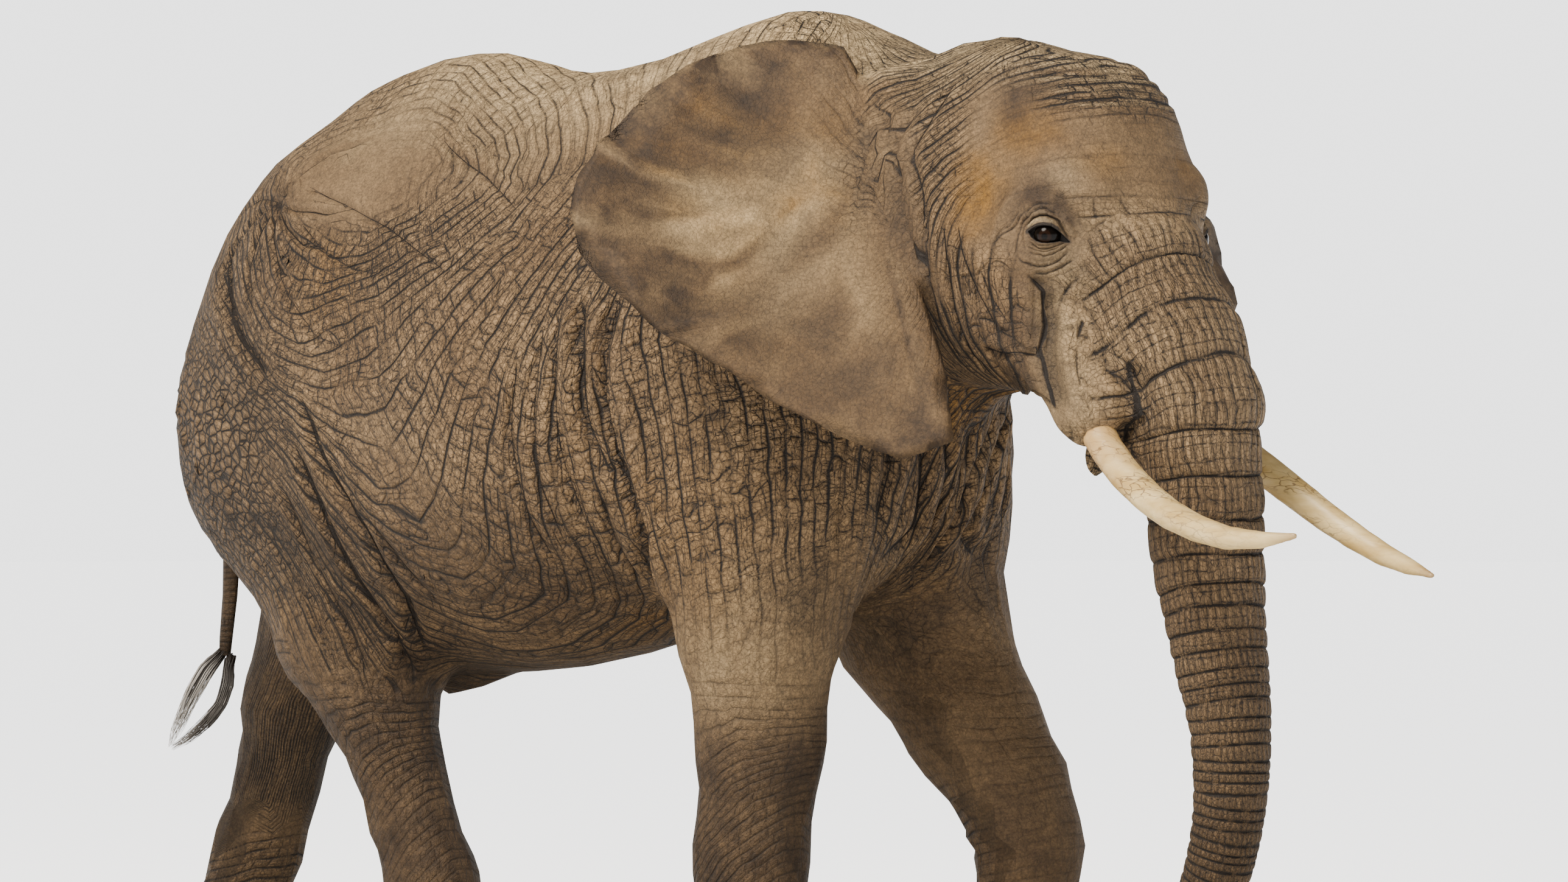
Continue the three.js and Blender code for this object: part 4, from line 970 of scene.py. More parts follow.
# How many rounds of smoothing the skin takes on the body, and on the other parts.
BODY_ROUNDS = 70.0
PART_ROUNDS = {"head": 20.0, "jaw": 12.0, "ear": 8.0, "trunk": 16.0, "tail": 10.0, "leg": 40.0}


def folded(co, part):
    """Whether a place lies on one of the body's great folds."""
    on_body = part_is(part, "torso", "neck")
    total = np.zeros(len(co))
    total[on_body] = folds_of(body_chart(co[on_body] + ORIGIN), BODY_FOLDS)
    return np.abs(total) > 0.0015


def make_skin():
    skin = woven(FLESH + ["eye_right", "eye_left"], LOBES)
    mesh = skin.data
    weave = Weave(mesh)
    co = coordinates(mesh)
    start = co.copy()
    part = nearest_node(co)
    rounds = np.full(len(co), BODY_ROUNDS)
    for name, value in PART_ROUNDS.items():
        rounds[part_is(part, name)] = value
    head = to_head(co + ORIGIN)
    fingers = (head[:, 2] < 0.40) & (head[:, 0] > 0.5) & (head[:, 0] < 0.78)
    rounds[fingers & part_is(part, "trunk")] = 3.0
    rounds[from_eyes(co) < 0.06] = 40.0
    rounds = weave.smooth(rounds, 20)
    co = weave.relax(co, rounds)
    set_coordinates(mesh, co)
    out = normals(mesh)
    shrunk = np.einsum("ij,ij->i", start - co, out)
    swell = weave.smooth(np.array([swell_of(name) for name in FLESH])[part], 8)
    back = weave.smooth(shrunk, 60) - swell
    co = co + out * np.clip(back, -0.012, 0.02)[:, None]
    set_coordinates(mesh, co)

    finer(mesh, lambda co: on_face(co) | folded(co, part))
    finer(mesh, lambda co: from_eyes(co) < 0.130)
    finer(mesh, lambda co: from_eyes(co) < 0.060)
    weave = Weave(mesh)
    co = coordinates(mesh)
    set_coordinates(mesh, weave.relax(co, np.where(from_eyes(co) < 0.13, 4.0, 1.0)))

    at = Places(mesh, 24)
    lift = body_relief(at) + face_relief(at) + trunk_relief(at) + leg_relief(at)
    lift *= ramp(0.07, 0.13, from_eyes(at.co))
    co = at.co + at.out * lift[:, None] + ear_bend(at)
    co[:, 2] = np.maximum(co[:, 2], 0.0)
    set_coordinates(mesh, co)
    open_eyes(mesh)
    thinned(skin, at.part)
    return skin


# ------------------------------------------- what the finish reads of the hide


def trunk_run(at, mine):
    """The columns of limb_run and the strength of the cross creases on the trunk."""
    length, turn, count, apart = trunk_place(at.head[mine])
    wide = np.interp(length, [0, 1.0, 2.6], [36, 27, 15])
    steps = np.linspace(0, 1.5, 301)
    _, ring_apart = ring_count(steps)
    fine_apart = np.interp(steps, [0, 0.9, 1.5], [31, 29, 30])
    extra = np.cumsum(5 / fine_apart - 0.005 / ring_apart)
    fine = count + np.interp(length, steps, extra - extra[-1])
    fine_apart = np.where(length < 1.5, np.interp(length, steps, fine_apart), apart * 1000)
    cross = np.interp(length, [0, 0.9, 1.5], [0.50, 0.55, 0.35]) * ramp(3.1, 2.8, np.abs(turn))
    return np.stack([count, turn / math.tau * 38, apart * 1000, wide, fine, fine_apart], axis=1), cross


# How many creases each leg's run climbs over a metre forward.
LEG_LEAN = {"front_right": 32, "front_left": 9, "hind_right": 34, "hind_left": 9}


def leg_run(name, p):
    """The first four columns of limb_run and the strength of the cross creases on one leg."""
    y = LEGS[name][0]
    ahead, beside = p[:, 0] - leg_middle(name, p[:, 2]), p[:, 1] - y
    turn = np.arctan2(ahead, beside * (1 if y > 0 else -1))
    # the creases lie level near knee and elbow
    level = np.interp(p[:, 2], [0.0, 0.3, 0.9, 1.4], [0.0, 13.0, 33.0, 47.0])
    count = level - LEG_LEAN[name] * ahead * ramp(1.0, 0.72, p[:, 2])
    apart = np.interp(p[:, 2], [0.0, 0.3, 0.9, 1.4], [20, 22, 26, 32])
    run = np.stack([count, turn / math.tau * 26, apart, 0 * apart + 42], axis=1)
    cross = (0.9 if name == "front_left" else 0.55) * ramp(3.1, 2.8, np.abs(turn))
    if name == "hind_left":
        # the upper part is stretched back and grooved lengthwise
        high = p[:, 2] > 0.56
        around = np.arctan2(ahead, -beside)[high]
        run[high] = np.stack([around * 17, p[high, 2] / 0.05, 0 * around + 11.5, 0 * around + 50], axis=1)
        cross[high] = 0.35
    return run, cross


def limb_run(at):
    """Crease counts on trunk, ears, legs and tail, and the strength of the cross creases.

    The columns are the two counts, their distances in mm, and the count and the
    distance of the finer creases between.
    """
    run = np.zeros((len(at.co), 6))
    run[:, 2:4] = 40.0
    cross = np.ones(len(at.co))
    trunk = (at.on_trunk + at.on_bridge) > 1e-3
    run[trunk], cross[trunk] = trunk_run(at, trunk)
    for side in (-1, 1):
        ear = (at.on_ear > 1e-4) & (at.head[:, 1] * side > 0)
        _, _, reach, turn = ear_place(at.head[ear], side)
        run[ear, :4] = np.stack([turn * 12, reach / 0.09, reach * 84, 0 * reach + 90], axis=1)
    for name, (y, _) in LEGS.items():
        fore = name.startswith("front")
        leg = (at.on_leg > 1e-4) & (at.body[:, 1] * y > 0) & ((at.body[:, 0] > 0.25) == fore)
        run[leg, :4], cross[leg] = leg_run(name, at.body[leg])
    tail = at.on_tail > 1e-4
    x, y, z = at.body[tail].T
    run[tail, :4] = np.stack([z / 0.016, np.arctan2(y, x + 1.46) * 2, 0 * x + 16, 0 * x + 40], axis=1)
    plain = ~trunk | (run[:, 5] < 1)
    run[plain, 4:] = np.stack([run[plain, 0] * 3, run[plain, 2] / 3], axis=1)
    return run, cross


def add_value(mesh, name, values):
    made = mesh.attributes.new(name, "FLOAT", "POINT")
    made.data.foreach_set("value", np.asarray(values, dtype=np.float32))


def add_values(mesh, name, *columns):
    made = mesh.attributes.new(name, "FLOAT_VECTOR", "POINT")
    made.data.foreach_set("vector", np.stack(columns, axis=1).astype(np.float32).ravel())


def nearest_fold(at):
    """Distance from the nearest great fold, less than zero on one side, and the fold's strength.

    The distance is in mm, stretched for shallow folds so that they are drawn thinner.
    """
    best, aside, strong = np.full(len(at.co), FAR), np.zeros(len(at.co)), np.zeros(len(at.co))
    for chart, here, rows in ((at.chart, at.on_body, BODY_FOLDS), (at.face, at.on_head, FACE_FOLDS)):
        for line, _, depth, *_ in rows:
            away, side, share = along_line(chart, line)
            nearer = (away < best) & (here > 0.5)
            best[nearer] = away[nearer]
            aside[nearer] = (away * side)[nearer] * 1000 * np.clip(14 / depth, 0.8, 1.7)
            ends = ramp(0, 0.12, share) * ramp(1, 0.88, share) * ramp(0.032, 0.022, away)
            strong[nearer] = (ends * min(0.35 + depth / 18, 1.0))[nearer]
    return aside, strong


def ear_seam(at):
    """Distance from the seam along the ear's root, and how far down it."""
    away, _, down = along_line(at.face, FACE_FOLDS[1][0])
    return away, down


def body_strength(at):
    """How strongly the body is creased along and across, and how far it is pebbled."""
    x, z = at.chart.T
    back = 0.7 * ramp(2.25, 2.45, z) * ramp(0.85, 0.6, x) * (1 - 0.6 * ramp(-0.30, -0.55, x))
    whorl = ramp(0.34, 0.16, np.hypot(x + 0.45, (z - 2.44) * 1.3))
    haunch = ramp(-0.54, -0.74, x) * bump_at(z, 1.62, 0.60)
    cusp, _, _ = along_line(at.chart, [(-0.36, 1.83), (-0.25, 1.67), (-0.03, 1.54), (0.02, 1.36)])
    kept = (1 - 0.95 * whorl) * (1 - 0.55 * haunch * ramp(1.40, 1.60, z)) * (1 - 0.55 * ramp(0.10, 0.0, cusp))
    elbow = 1 - 0.65 * ramp(1.42, 1.20, z) * ramp(0.52, 0.62, x)
    nape = 1 - 0.6 * ramp(0.90, 1.0, x) * ramp(2.35, 2.5, z)
    kept *= elbow * nape
    pebbled = (0.25 + 0.75 * haunch) * (1 - 0.8 * np.maximum(back, whorl))
    return (1.0 - 0.60 * back) * kept, (0.85 - 0.50 * back) * kept, pebbled


def face_strength(at):
    """How strongly the face is creased along and across: little on the temple and in two great folds."""
    u, v = at.face.T
    temple = ramp(0.40, 0.50, u) * ramp(2.06, 2.20, v) * ramp(2.60, 2.48, v)
    temple *= 1 - ramp(0.60, 0.68, u) * np.maximum(ramp(2.42, 2.50, v), ramp(2.28, 2.18, v))
    lines = 1.0 - 0.88 * temple - 0.35 * bump_at(u, 0.66, 0.08) * ramp(1.95, 1.85, v)
    crosses = 0.85 * (1 - 0.9 * temple)
    cheek, _, _ = along_line(at.face, FACE_FOLDS[0][0])
    seam, down = ear_seam(at)
    smooth = np.maximum(0.8 * ramp(0.042, 0.018, cheek), 0.7 * ramp(0.065, 0.025, seam) * ramp(0, 0.2, down))
    return lines * (1 - smooth), crosses * (1 - smooth)


def fore_and_near(at):
    """Whether a place belongs to the fore legs, and whether it lies on the animal's right."""
    return at.body[:, 0] > 0.25, at.body[:, 1] < 0


def leg_strength(at):
    """How strongly the legs are creased along: most behind the wrist and above the foot."""
    up = at.body[:, 2]
    fore, near = fore_and_near(at)
    lines = np.where(fore, np.where(near, 0.42, 0.20), np.where(near, 0.34, 0.75))
    wrist = np.where(fore & ~near, 0.62, 0.45)
    rear = at.body[:, 0] - np.where(near, 0.80, np.interp(up, [0.3, 0.6, 0.9], [1.21, 1.23, 1.06]))
    lines += 0.50 * fore * bump_at(up, wrist, 0.22) * ramp(0.05, -0.08, rear)
    lines += 0.35 * bump_at(up, 0.20, 0.16) + 0.35 * ~fore * near * bump_at(up, 0.86, 0.20)
    return lines * (1 - 0.9 * (~fore & ~near) * bump_at(up, 0.56, 0.07))


# Patches on the face, in its chart: forward, up, reach and depth of tone.
OCHRE_SPOTS = [
    (0.60, 2.43, 0.08, 0.8), (0.50, 2.30, 0.075, 0.8), (0.49, 2.21, 0.06, 0.7), (0.735, 2.34, 0.045, 0.3),
]
# The dark patches; the two lowest, at 1.92 and 1.80 up, are painted shade behind the cheek's great fold.
DARK_SPOTS = [
    (0.56, 2.53, 0.10, 0.5), (0.60, 2.44, 0.08, 0.45), (0.64, 2.27, 0.06, 0.5), (0.60, 2.24, 0.06, 0.4),
    (0.67, 2.17, 0.05, 0.6), (0.60, 1.92, 0.06, 0.9), (0.59, 1.80, 0.06, 0.8), (0.50, 1.95, 0.09, 0.35),
]


def spotted(at, spots):
    u, v = at.face.T
    tones = sum(deep * ramp(1.5, 0.0, np.hypot(u - a, v - b) / size) for a, b, size, deep in spots)
    return tones * at.shares[1]


def ochre_tone(at):
    """Ochre earth: on the temple, behind the elbow, at the tusk's root and in traces on the flank."""
    ochre = spotted(at, OCHRE_SPOTS)
    ochre += 0.7 * ramp(0.09, 0.0, np.linalg.norm(at.body - np.array([0.40, -0.22, 1.20]), axis=1))
    ochre += 0.5 * ramp(0.20, 0.05, np.linalg.norm(at.body - np.array([1.31, -0.07, 1.76]), axis=1))
    return ochre + 0.18 * at.shares[0] * np.clip(cloud(at.co, 0.30, 53), 0, 1)


def dark_and_painted_shade(at):
    """Painted shade on the lower legs, the lower flank and belly, the inner sides of the legs, the lower
    haunch, the hip's hollow, behind the cheek's fold and along the ear's seam; dark hide on the tail; darker
    on the crown, down the trunk and in patches on the face.
    """
    x, z = at.chart.T
    u, v = at.face.T
    up = at.body[:, 2]
    body, face, _ = at.shares
    fore, near = fore_and_near(at)
    off_trunk = 1 - at.whole_trunk
    dark = spotted(at, DARK_SPOTS)
    # painted shade on the lower legs, strongest on the near ones
    lower = np.where(fore, np.where(near, ramp(1.08, 0.82, up), 0.4 * ramp(0.98, 0.70, up)), 0)
    dark += (0.85 * lower + ~fore * np.where(near, 0.85, 0.32) * ramp(1.15, 0.90, up)) * off_trunk
    # painted shade on the lower flank and belly
    dark += 0.65 * bump_at(up, 1.25, 0.45) * body * ramp(0.60, 0.42, x) * (1 - 0.6 * ramp(-0.40, -0.60, x))
    dark += 0.25 * at.whole_trunk * ramp(1.8, 1.4, up)
    # dark hide on the tail, and painted shade in the hip's hollow
    dark += 0.9 * at.on_tail + 0.7 * body * np.exp(-(((x + 0.71) ** 2 + (z - 2.36) ** 2) / 0.06 ** 2))
    dark += 0.35 * face * ramp(2.42, 2.55, v) * ramp(0.5, 0.6, u)
    # painted shade on the inner sides of the legs, where they face each other
    inner = ramp(1.5, 1.1, up) * ramp(0.2, 0.9, -at.out[:, 1] * np.sign(at.body[:, 1]))
    dark += 0.20 * at.weave.smooth(inner, 12) * off_trunk
    # painted shade on the lower haunch
    dark += 0.28 * body * ramp(-0.50, -0.75, x) * ramp(2.3, 1.9, z)
    # painted shadow along the seam between ear and cheek
    seam, down = ear_seam(at)
    return dark + 0.4 * face * np.exp(-((seam / 0.035) ** 2)) * ramp(0, 0.25, down)


def pale_and_painted_highlight(at):
    """Paler hide where the back faces up, on the trunk's bridge and upper length and on the outer side of the
    near upper fore leg, and a painted highlight on the ridge of the brow.
    """
    u, v = at.face.T
    up = at.body[:, 2]
    face = at.shares[1]
    fore, near = fore_and_near(at)
    fore_back = 1 - 0.75 * ramp(-0.35, -0.60, at.chart[:, 0])
    pale = 1.1 * ramp(0.45, 1.0, at.out[:, 2]) * ramp(2.2, 2.6, up) * fore_back
    pale += 0.35 * face * ramp(0.60, 0.66, u) * ramp(2.30, 2.10, v)
    pale += 0.10 * at.whole_trunk * ramp(1.3, 1.9, up)
    # painted highlight on the ridge of the brow
    pale += 0.30 * face * bump_at(u, 0.665, 0.05) * bump_at(v, 2.29, 0.08)
    outer = at.weave.smooth(1.0 * (fore & near & (at.out[:, 1] < 0)), 10)
    return pale + 1.10 * outer * bump_at(up, 1.24, 0.40) * at.on_leg


def ear_tones(at):
    """Ochre, pale and dark on the ears: golden above, sandy in the middle, dark at crest and rim, with
    painted highlights on the ridges of the soft folds and pleats, and painted shade in their valleys and in
    the fold in front.
    """
    ochre, pale, dark = np.zeros((3, len(at.co)))
    mottle = 0.6 * cloud(at.co, 0.10, 51) + 0.5 * cloud(at.co, 0.045, 52)
    freckle = np.clip(1.5 * cloud(at.co, 0.030, 55) + 0.9 * mottle - 0.15, 0, 1)
    for side in (-1, 1):
        mine = at.on_ear * (at.head[:, 1] * side > 0)
        along, rise, reach, turn = ear_place(at.head, side)
        rays = ear_rays(at.head, along, rise) * mine
        pleats = ear_pleats(at.co, reach, turn) * ramp(0.25, 0.50, along) * ramp(-0.25, 0.0, rise)
        middle = np.exp(-(((along - 0.32) / 0.24) ** 2 + ((rise - 0.24) / 0.18) ** 2))
        golden = np.exp(-(((along - 0.34) / 0.26) ** 2 + ((rise - 0.38) / 0.24) ** 2))
        crest = np.exp(-(((along - 0.18) / 0.24) ** 2 + ((rise - 0.62) / 0.22) ** 2))
        ochre += mine * (0.16 + golden * np.clip(0.12 + 0.9 * freckle, 0, 1))
        # painted highlight on the ridges of rays and pleats
        pale += mine * np.clip(0.95 * middle + 0.5 * mottle + 0.25 * rays + 0.35 * pleats - 0.1, 0, 1.0)
        gloom = 0.46 + 0.40 * crest + 0.6 * ramp(0.42, 0.64, along) - 0.70 * middle
        # painted shade in the fold in front of the ear
        gloom += 0.7 * np.exp(-(((along - 0.04) / 0.006) ** 2)) * ramp(0.15, -0.1, rise)
        # painted shade in the valleys of rays and pleats
        dark += mine * np.clip(gloom - 0.15 * rays - 0.4 * pleats - 0.5 * mottle, 0, 0.85)
    return ochre, pale, dark


def hollows(at):
    """How far each vertex lies below its neighbours, from -1 to 1.5."""
    mean = np.stack([at.weave.mean(column) for column in at.co.T], axis=1)
    sunk = np.einsum("ij,ij->i", mean - at.co, at.out)
    return at.weave.smooth(np.clip(sunk / 0.0015, -1, 1.5), 1)


def chart_hide(skin):
    """Writes the run of the creases, their strength and the tones, with their painted shade and highlights,
    to the skin's vertices.
    """
    mesh = skin.data
    at = Places(mesh, 12)
    body, face, limbs = at.shares
    flank, visage = body_run.at(at.chart), face_run.at(at.face)
    limb, limb_cross = limb_run(at)
    apart = body * flank[:, 2] + face * visage[:, 2] + limbs * limb[:, 2]
    length = body * flank[:, 3] + face * visage[:, 3] + limbs * limb[:, 3]
    finer_apart = (body * flank[:, 2] + face * visage[:, 2]) / 3 + limbs * limb[:, 5]
    add_values(mesh, "flank", flank[:, 0], flank[:, 1], flank[:, 0] * 3)
    add_values(mesh, "visage", visage[:, 0], visage[:, 1], visage[:, 0] * 3)
    add_values(mesh, "limb", limb[:, 0], limb[:, 1], limb[:, 4])
    add_values(mesh, "pitch", apart, length, finer_apart)

    # how strongly the skin is creased along and across, and how far creases stray
    body_lines, body_cross, pebbled = body_strength(at)
    face_lines, face_cross = face_strength(at)
    limb_lines = at.on_ear * 0.05 + at.on_leg * leg_strength(at) + at.whole_trunk + at.on_tail * 0.4
    limb_lines = np.clip(limb_lines, 0, 1.1)
    lines = body * body_lines + face * face_lines + limbs * limb_lines
    crosses = body * body_cross + face * face_cross + limbs * limb_cross * limb_lines
    stray = body + face * 0.8 + limbs * (1 - 0.7 * at.whole_trunk)
    near_eye = ramp(0.075, 0.125, from_eyes(at.co))
    add_values(mesh, "crease", lines * near_eye, crosses * near_eye, stray)
    add_values(mesh, "zone", face, limbs, body * pebbled + 0.25 * face * ramp(0.5, 0.3, at.face[:, 0]))

    # the great folds, and how deep each place lies: painted shade in folds, pleats and hollows, and the lids'
    # margins
    margin, pleats, lid_painted_highlight, lid_painted_shade_and_dark = lid_tones(at)
    folds = folds_of(at.chart, BODY_FOLDS) * at.on_body + folds_of(at.face, FACE_FOLDS) * at.on_head
    pleats = np.maximum(pleats, np.clip(-folds / 0.008, 0, 1.6) * near_eye)
    hollow = hollows(at)
    aside, strong = nearest_fold(at)
    add_value(mesh, "aside", aside)
    add_values(mesh, "hollow", np.maximum(hollow, pleats), margin, strong)

    # tones: ochre earth, dark hide and painted shade, pale hide and painted highlights
    ear_ochre, ear_pale_and_highlight, ear_dark_and_shade = ear_tones(at)
    ochre = ochre_tone(at) + ear_ochre
    # the ears' bends add painted shade
    dark = dark_and_painted_shade(at) + ear_dark_and_shade + lid_painted_shade_and_dark + 0.25 * at.on_ear * np.clip(-hollow, 0, 1)
    pale = pale_and_painted_highlight(at) + ear_pale_and_highlight + lid_painted_highlight
    add_values(mesh, "tone", np.clip(ochre, 0, 1), np.clip(dark, 0, 1), np.clip(pale, 0, 1))


def lid_tones(at):
    """Dark wet margins round the eyes with painted shade under the upper lid's roll, painted shade in the
    lids' pleats and the brow's hollows, darker below the opening, and a painted highlight on the upper lid.
    """
    margin, pleats, pale, dark = np.zeros((4, len(at.co)))
    for side in EYES:
        h, s, t = eye_place(side, at.co)
        near = (np.hypot(s, t) < 150) & (h > -40)
        s, t = s[near], t[near]
        outside, creases, _ = lid_form(s, t)
        # dark wet margin round the opening, and painted shade under the upper lid's roll
        above = ramp(-2, 6, t) * ramp(44, 30, s)
        margin[near] = np.maximum(ramp(3.5, 1.0, outside), 0.92 * above * ramp(9.5, 6.0, outside))
        # painted shade in the lids' pleats
        pleats[near] = np.clip(-creases * 0.5, 0, 2.0)
        # painted highlight on the upper lid's rolls
        roll, _, share = along_line(np.stack([s, t], axis=1), LID_ROLLS[0][0])
        pale[near] = np.exp(-(roll / 7) ** 2) * ramp(0, 0.12, share) * ramp(1.0, 0.8, share)
        pale[near] += 0.45 * np.exp(-(((s + 14) / 34) ** 2 + ((t - 56) / 6) ** 2))
        # painted shade in the brow's hollows
        for x, y, wide, deep in BROW_HOLLOW:
            dark[near] += 0.17 * deep * np.exp(-((s - x) ** 2 + (t - y) ** 2) / (1.2 * wide) ** 2)
        # darker below the opening
        dark[near] += 0.5 * ramp(16, 4, outside) * ramp(4, -6, t)
    return margin, pleats, pale, dark


# ------------------------------------------------------------------- finishes


def linear(hexa):
    """An sRGB hex colour in the renderer's linear light."""
    channels = [int(hexa[k:k + 2], 16) / 255 for k in (0, 2, 4)]
    return [c / 12.92 if c <= 0.04045 else ((c + 0.055) / 1.055) ** 2.4 for c in channels] + [1.0]


class Finish:
    """A material whose nodes are added one by one with their settings and links."""

    def __init__(self, name):
        self.material = bpy.data.materials.new(name)
        self.material.use_nodes = True
        self.tree = self.material.node_tree
        self.shader = self.tree.nodes["Principled BSDF"]

    def add(self, kind, inputs, out=0, **settings):
        node = self.tree.nodes.new("ShaderNode" + kind)
        for key, value in settings.items():
            setattr(node, key, value)
        for key, value in inputs.items():
            self.join(node.inputs[key], value)
        return node.outputs[out]

    def join(self, socket, value):
        if isinstance(value, bpy.types.NodeSocket):
            self.tree.links.new(value, socket)
        else:
            socket.default_value = value

    def set(self, **inputs):
        for key, value in inputs.items():
            self.join(self.shader.inputs[key.replace("_", " ").title()], value)


def whole_count(add, count, apart):
    """The nearest whole count, and how far off it lies in mm."""
    line = add("Math", {0: count}, operation="ROUND")
    off = add("Math", {0: count, 1: line}, operation="SUBTRACT")
    off = add("Math", {0: off}, operation="ABSOLUTE")
    return line, add("Math", {0: off, 1: apart}, operation="MULTIPLY")


def groove(add, off, half, *strengths):
    """1 in the middle of a crease and 0 from half its width on, times its strengths."""
    cut = add("MapRange", {0: off, 1: 0.0, 2: half, 3: 1.0, 4: 0.0}, interpolation_type="SMOOTHSTEP")
    for strength in strengths:
        cut = add("Math", {0: cut, 1: strength}, operation="MULTIPLY")
    return cut


def noise_between(add, place, scale, detail, roughness, *span):
    """Noise of that scale, spread out between the given values."""
    noise = add("TexNoise", {"Vector": place, "Scale": scale, "Detail": detail, "Roughness": roughness})
    return add("MapRange", {0: noise, **dict(enumerate(span, 1))})


def chosen_run(add, place, read, shares):
    """One set of counts at each place, its fading along a ragged border, and the noise of the border."""
    ragged = add("TexNoise", {"Vector": place, "Scale": 16.0, "Detail": 1.0})
    run, fade = read["flank"], 1.0
    for name, share in zip(("visage", "limb"), shares):
        blurred = add("Math", {0: ragged, 1: 1.2, 2: share}, operation="MULTIPLY_ADD")
        over = add("Math", {0: blurred, 1: 1.1}, operation="GREATER_THAN")
        run = add("Mix", {0: over, 4: run, 5: read[name]}, out=1, data_type="VECTOR")
        edge = add("Math", {0: blurred, 1: 1.1}, operation="SUBTRACT")
        edge = add("Math", {0: edge}, operation="ABSOLUTE")
        clear = add("MapRange", {0: edge, 1: 0.01, 2: 0.10, 3: 0.25, 4: 1.0})
        fade = add("Math", {0: fade, 1: clear}, operation="MULTIPLY")
    return run, fade, ragged


def strayed(add, run, wander, stray, units):
    """The counts of a run, strayed by some 6 mm over 110 mm, and the sway that they follow."""
    sway = [add("SeparateXYZ", {0: wander}, out=k) for k in range(2)]
    count = [add("SeparateXYZ", {0: run}, out=k) for k in range(3)]
    far = add("Math", {0: 26.0, 1: stray}, operation="MULTIPLY")
    for k, unit in enumerate(units):
        push = add("Math", {0: far, 1: unit}, operation="DIVIDE")
        count[k] = add("Math", {0: sway[k % 2], 1: push, 2: count[k]}, operation="MULTIPLY_ADD")
    return count, sway


def long_creases(add, count, apart, lines):
    """Creases along the run, deep and faint by turns, and the distance to the nearest in mm."""
    line, off_mm = whole_count(add, count[0], apart)
    across = add("Math", {0: line, 1: 3.7}, operation="MULTIPLY")
    along = add("Math", {0: count[1], 1: 0.45}, operation="MULTIPLY")
    name = add("CombineXYZ", {0: across, 1: along})
    lasting = add("TexNoise", {"Vector": name, "Scale": 1.0, "Detail": 0.0}, noise_dimensions="2D")
    lasting = add("MapRange", {0: lasting, 1: 0.32, 2: 0.58, 3: 0.25, 4: 1.0})
    wide = add("MapRange", {0: lasting, 1: 0.0, 2: 1.0, 3: 2.0, 4: 4.8})
    return groove(add, off_mm, wide, lasting, lines), off_mm


def cross_creases(add, count, sway, length, crosses):
    """Creases across, staggered from cushion to cushion as bricks are, and the distance in mm."""
    row = add("Math", {0: count[0]}, operation="FLOOR")
    shift = add("TexWhiteNoise", {"W": row}, noise_dimensions="1D")
    uneven = add("Math", {0: sway[0], 1: 2.2, 2: count[1]}, operation="MULTIPLY_ADD")
    stagger = add("Math", {0: shift, 1: uneven}, operation="ADD")
    tier, gap_mm = whole_count(add, stagger, length)
    brick = add("CombineXYZ", {0: row, 1: tier})
    chance = add("TexWhiteNoise", {"Vector": brick}, noise_dimensions="2D")
    chance = add("MapRange", {0: chance, 1: 0.2, 2: 0.8, 3: 0.1, 4: 0.95})
    return groove(add, gap_mm, 3.4, chance, crosses), gap_mm


def fine_lines(add, count, sway, finer_apart, lines):
    """Fine lines between the long creases, three to each cushion and often broken."""
    third = add("Math", {0: count[2], 1: sway[1]}, operation="ADD")
    near, fine_mm = whole_count(add, third, finer_apart)
    name = add("CombineXYZ", {0: add("Math", {0: near, 1: 5.3}, operation="MULTIPLY"), 1: count[1], 2: 4.0})
    broken = add("TexNoise", {"Vector": name, "Scale": 1.1, "Detail": 0.0})
    coarse = add("MapRange", {0: finer_apart, 1: 18.0, 2: 26.0})
    broken = add("Math", {0: coarse, 1: 0.17, 2: broken}, operation="MULTIPLY_ADD")
    broken = add("MapRange", {0: broken, 1: 0.46, 2: 0.62})
    thin = add("MapRange", {0: coarse, 3: 2.1, 4: 4.4})
    return groove(add, fine_mm, thin, broken, lines)


def fine_crosses(add, count, sway, length, crosses):
    """Fine lines across, five to each cross crease."""
    fifth = add("Math", {0: count[1], 1: 5.0, 2: sway[0]}, operation="MULTIPLY_ADD")
    fifth_apart = add("Math", {0: length, 1: 0.2}, operation="MULTIPLY")
    beside, hair_mm = whole_count(add, fifth, fifth_apart)
    name = add("CombineXYZ", {0: add("Math", {0: beside, 1: 4.1}, operation="MULTIPLY"), 1: count[0], 2: 9.0})
    snapped = add("TexNoise", {"Vector": name, "Scale": 0.9, "Detail": 0.0})
    snapped = add("MapRange", {0: snapped, 1: 0.44, 2: 0.60})
    return groove(add, hair_mm, 2.0, snapped, crosses)


def great_folds(add, sway, ragged, strong):
    """The great folds, drawn as lines of ragged width that sink into the bump and darken with painted shade.
    """
    aside = add("Attribute", {}, out=2, attribute_name="aside")
    aside = add("Math", {0: sway[1], 1: 13.0, 2: aside}, operation="MULTIPLY_ADD")
    aside = add("Math", {0: aside}, operation="ABSOLUTE")
    wide = add("MapRange", {0: ragged, 1: 0.35, 2: 0.65, 3: 2.2, 4: 5.2})
    return groove(add, aside, wide, strong)


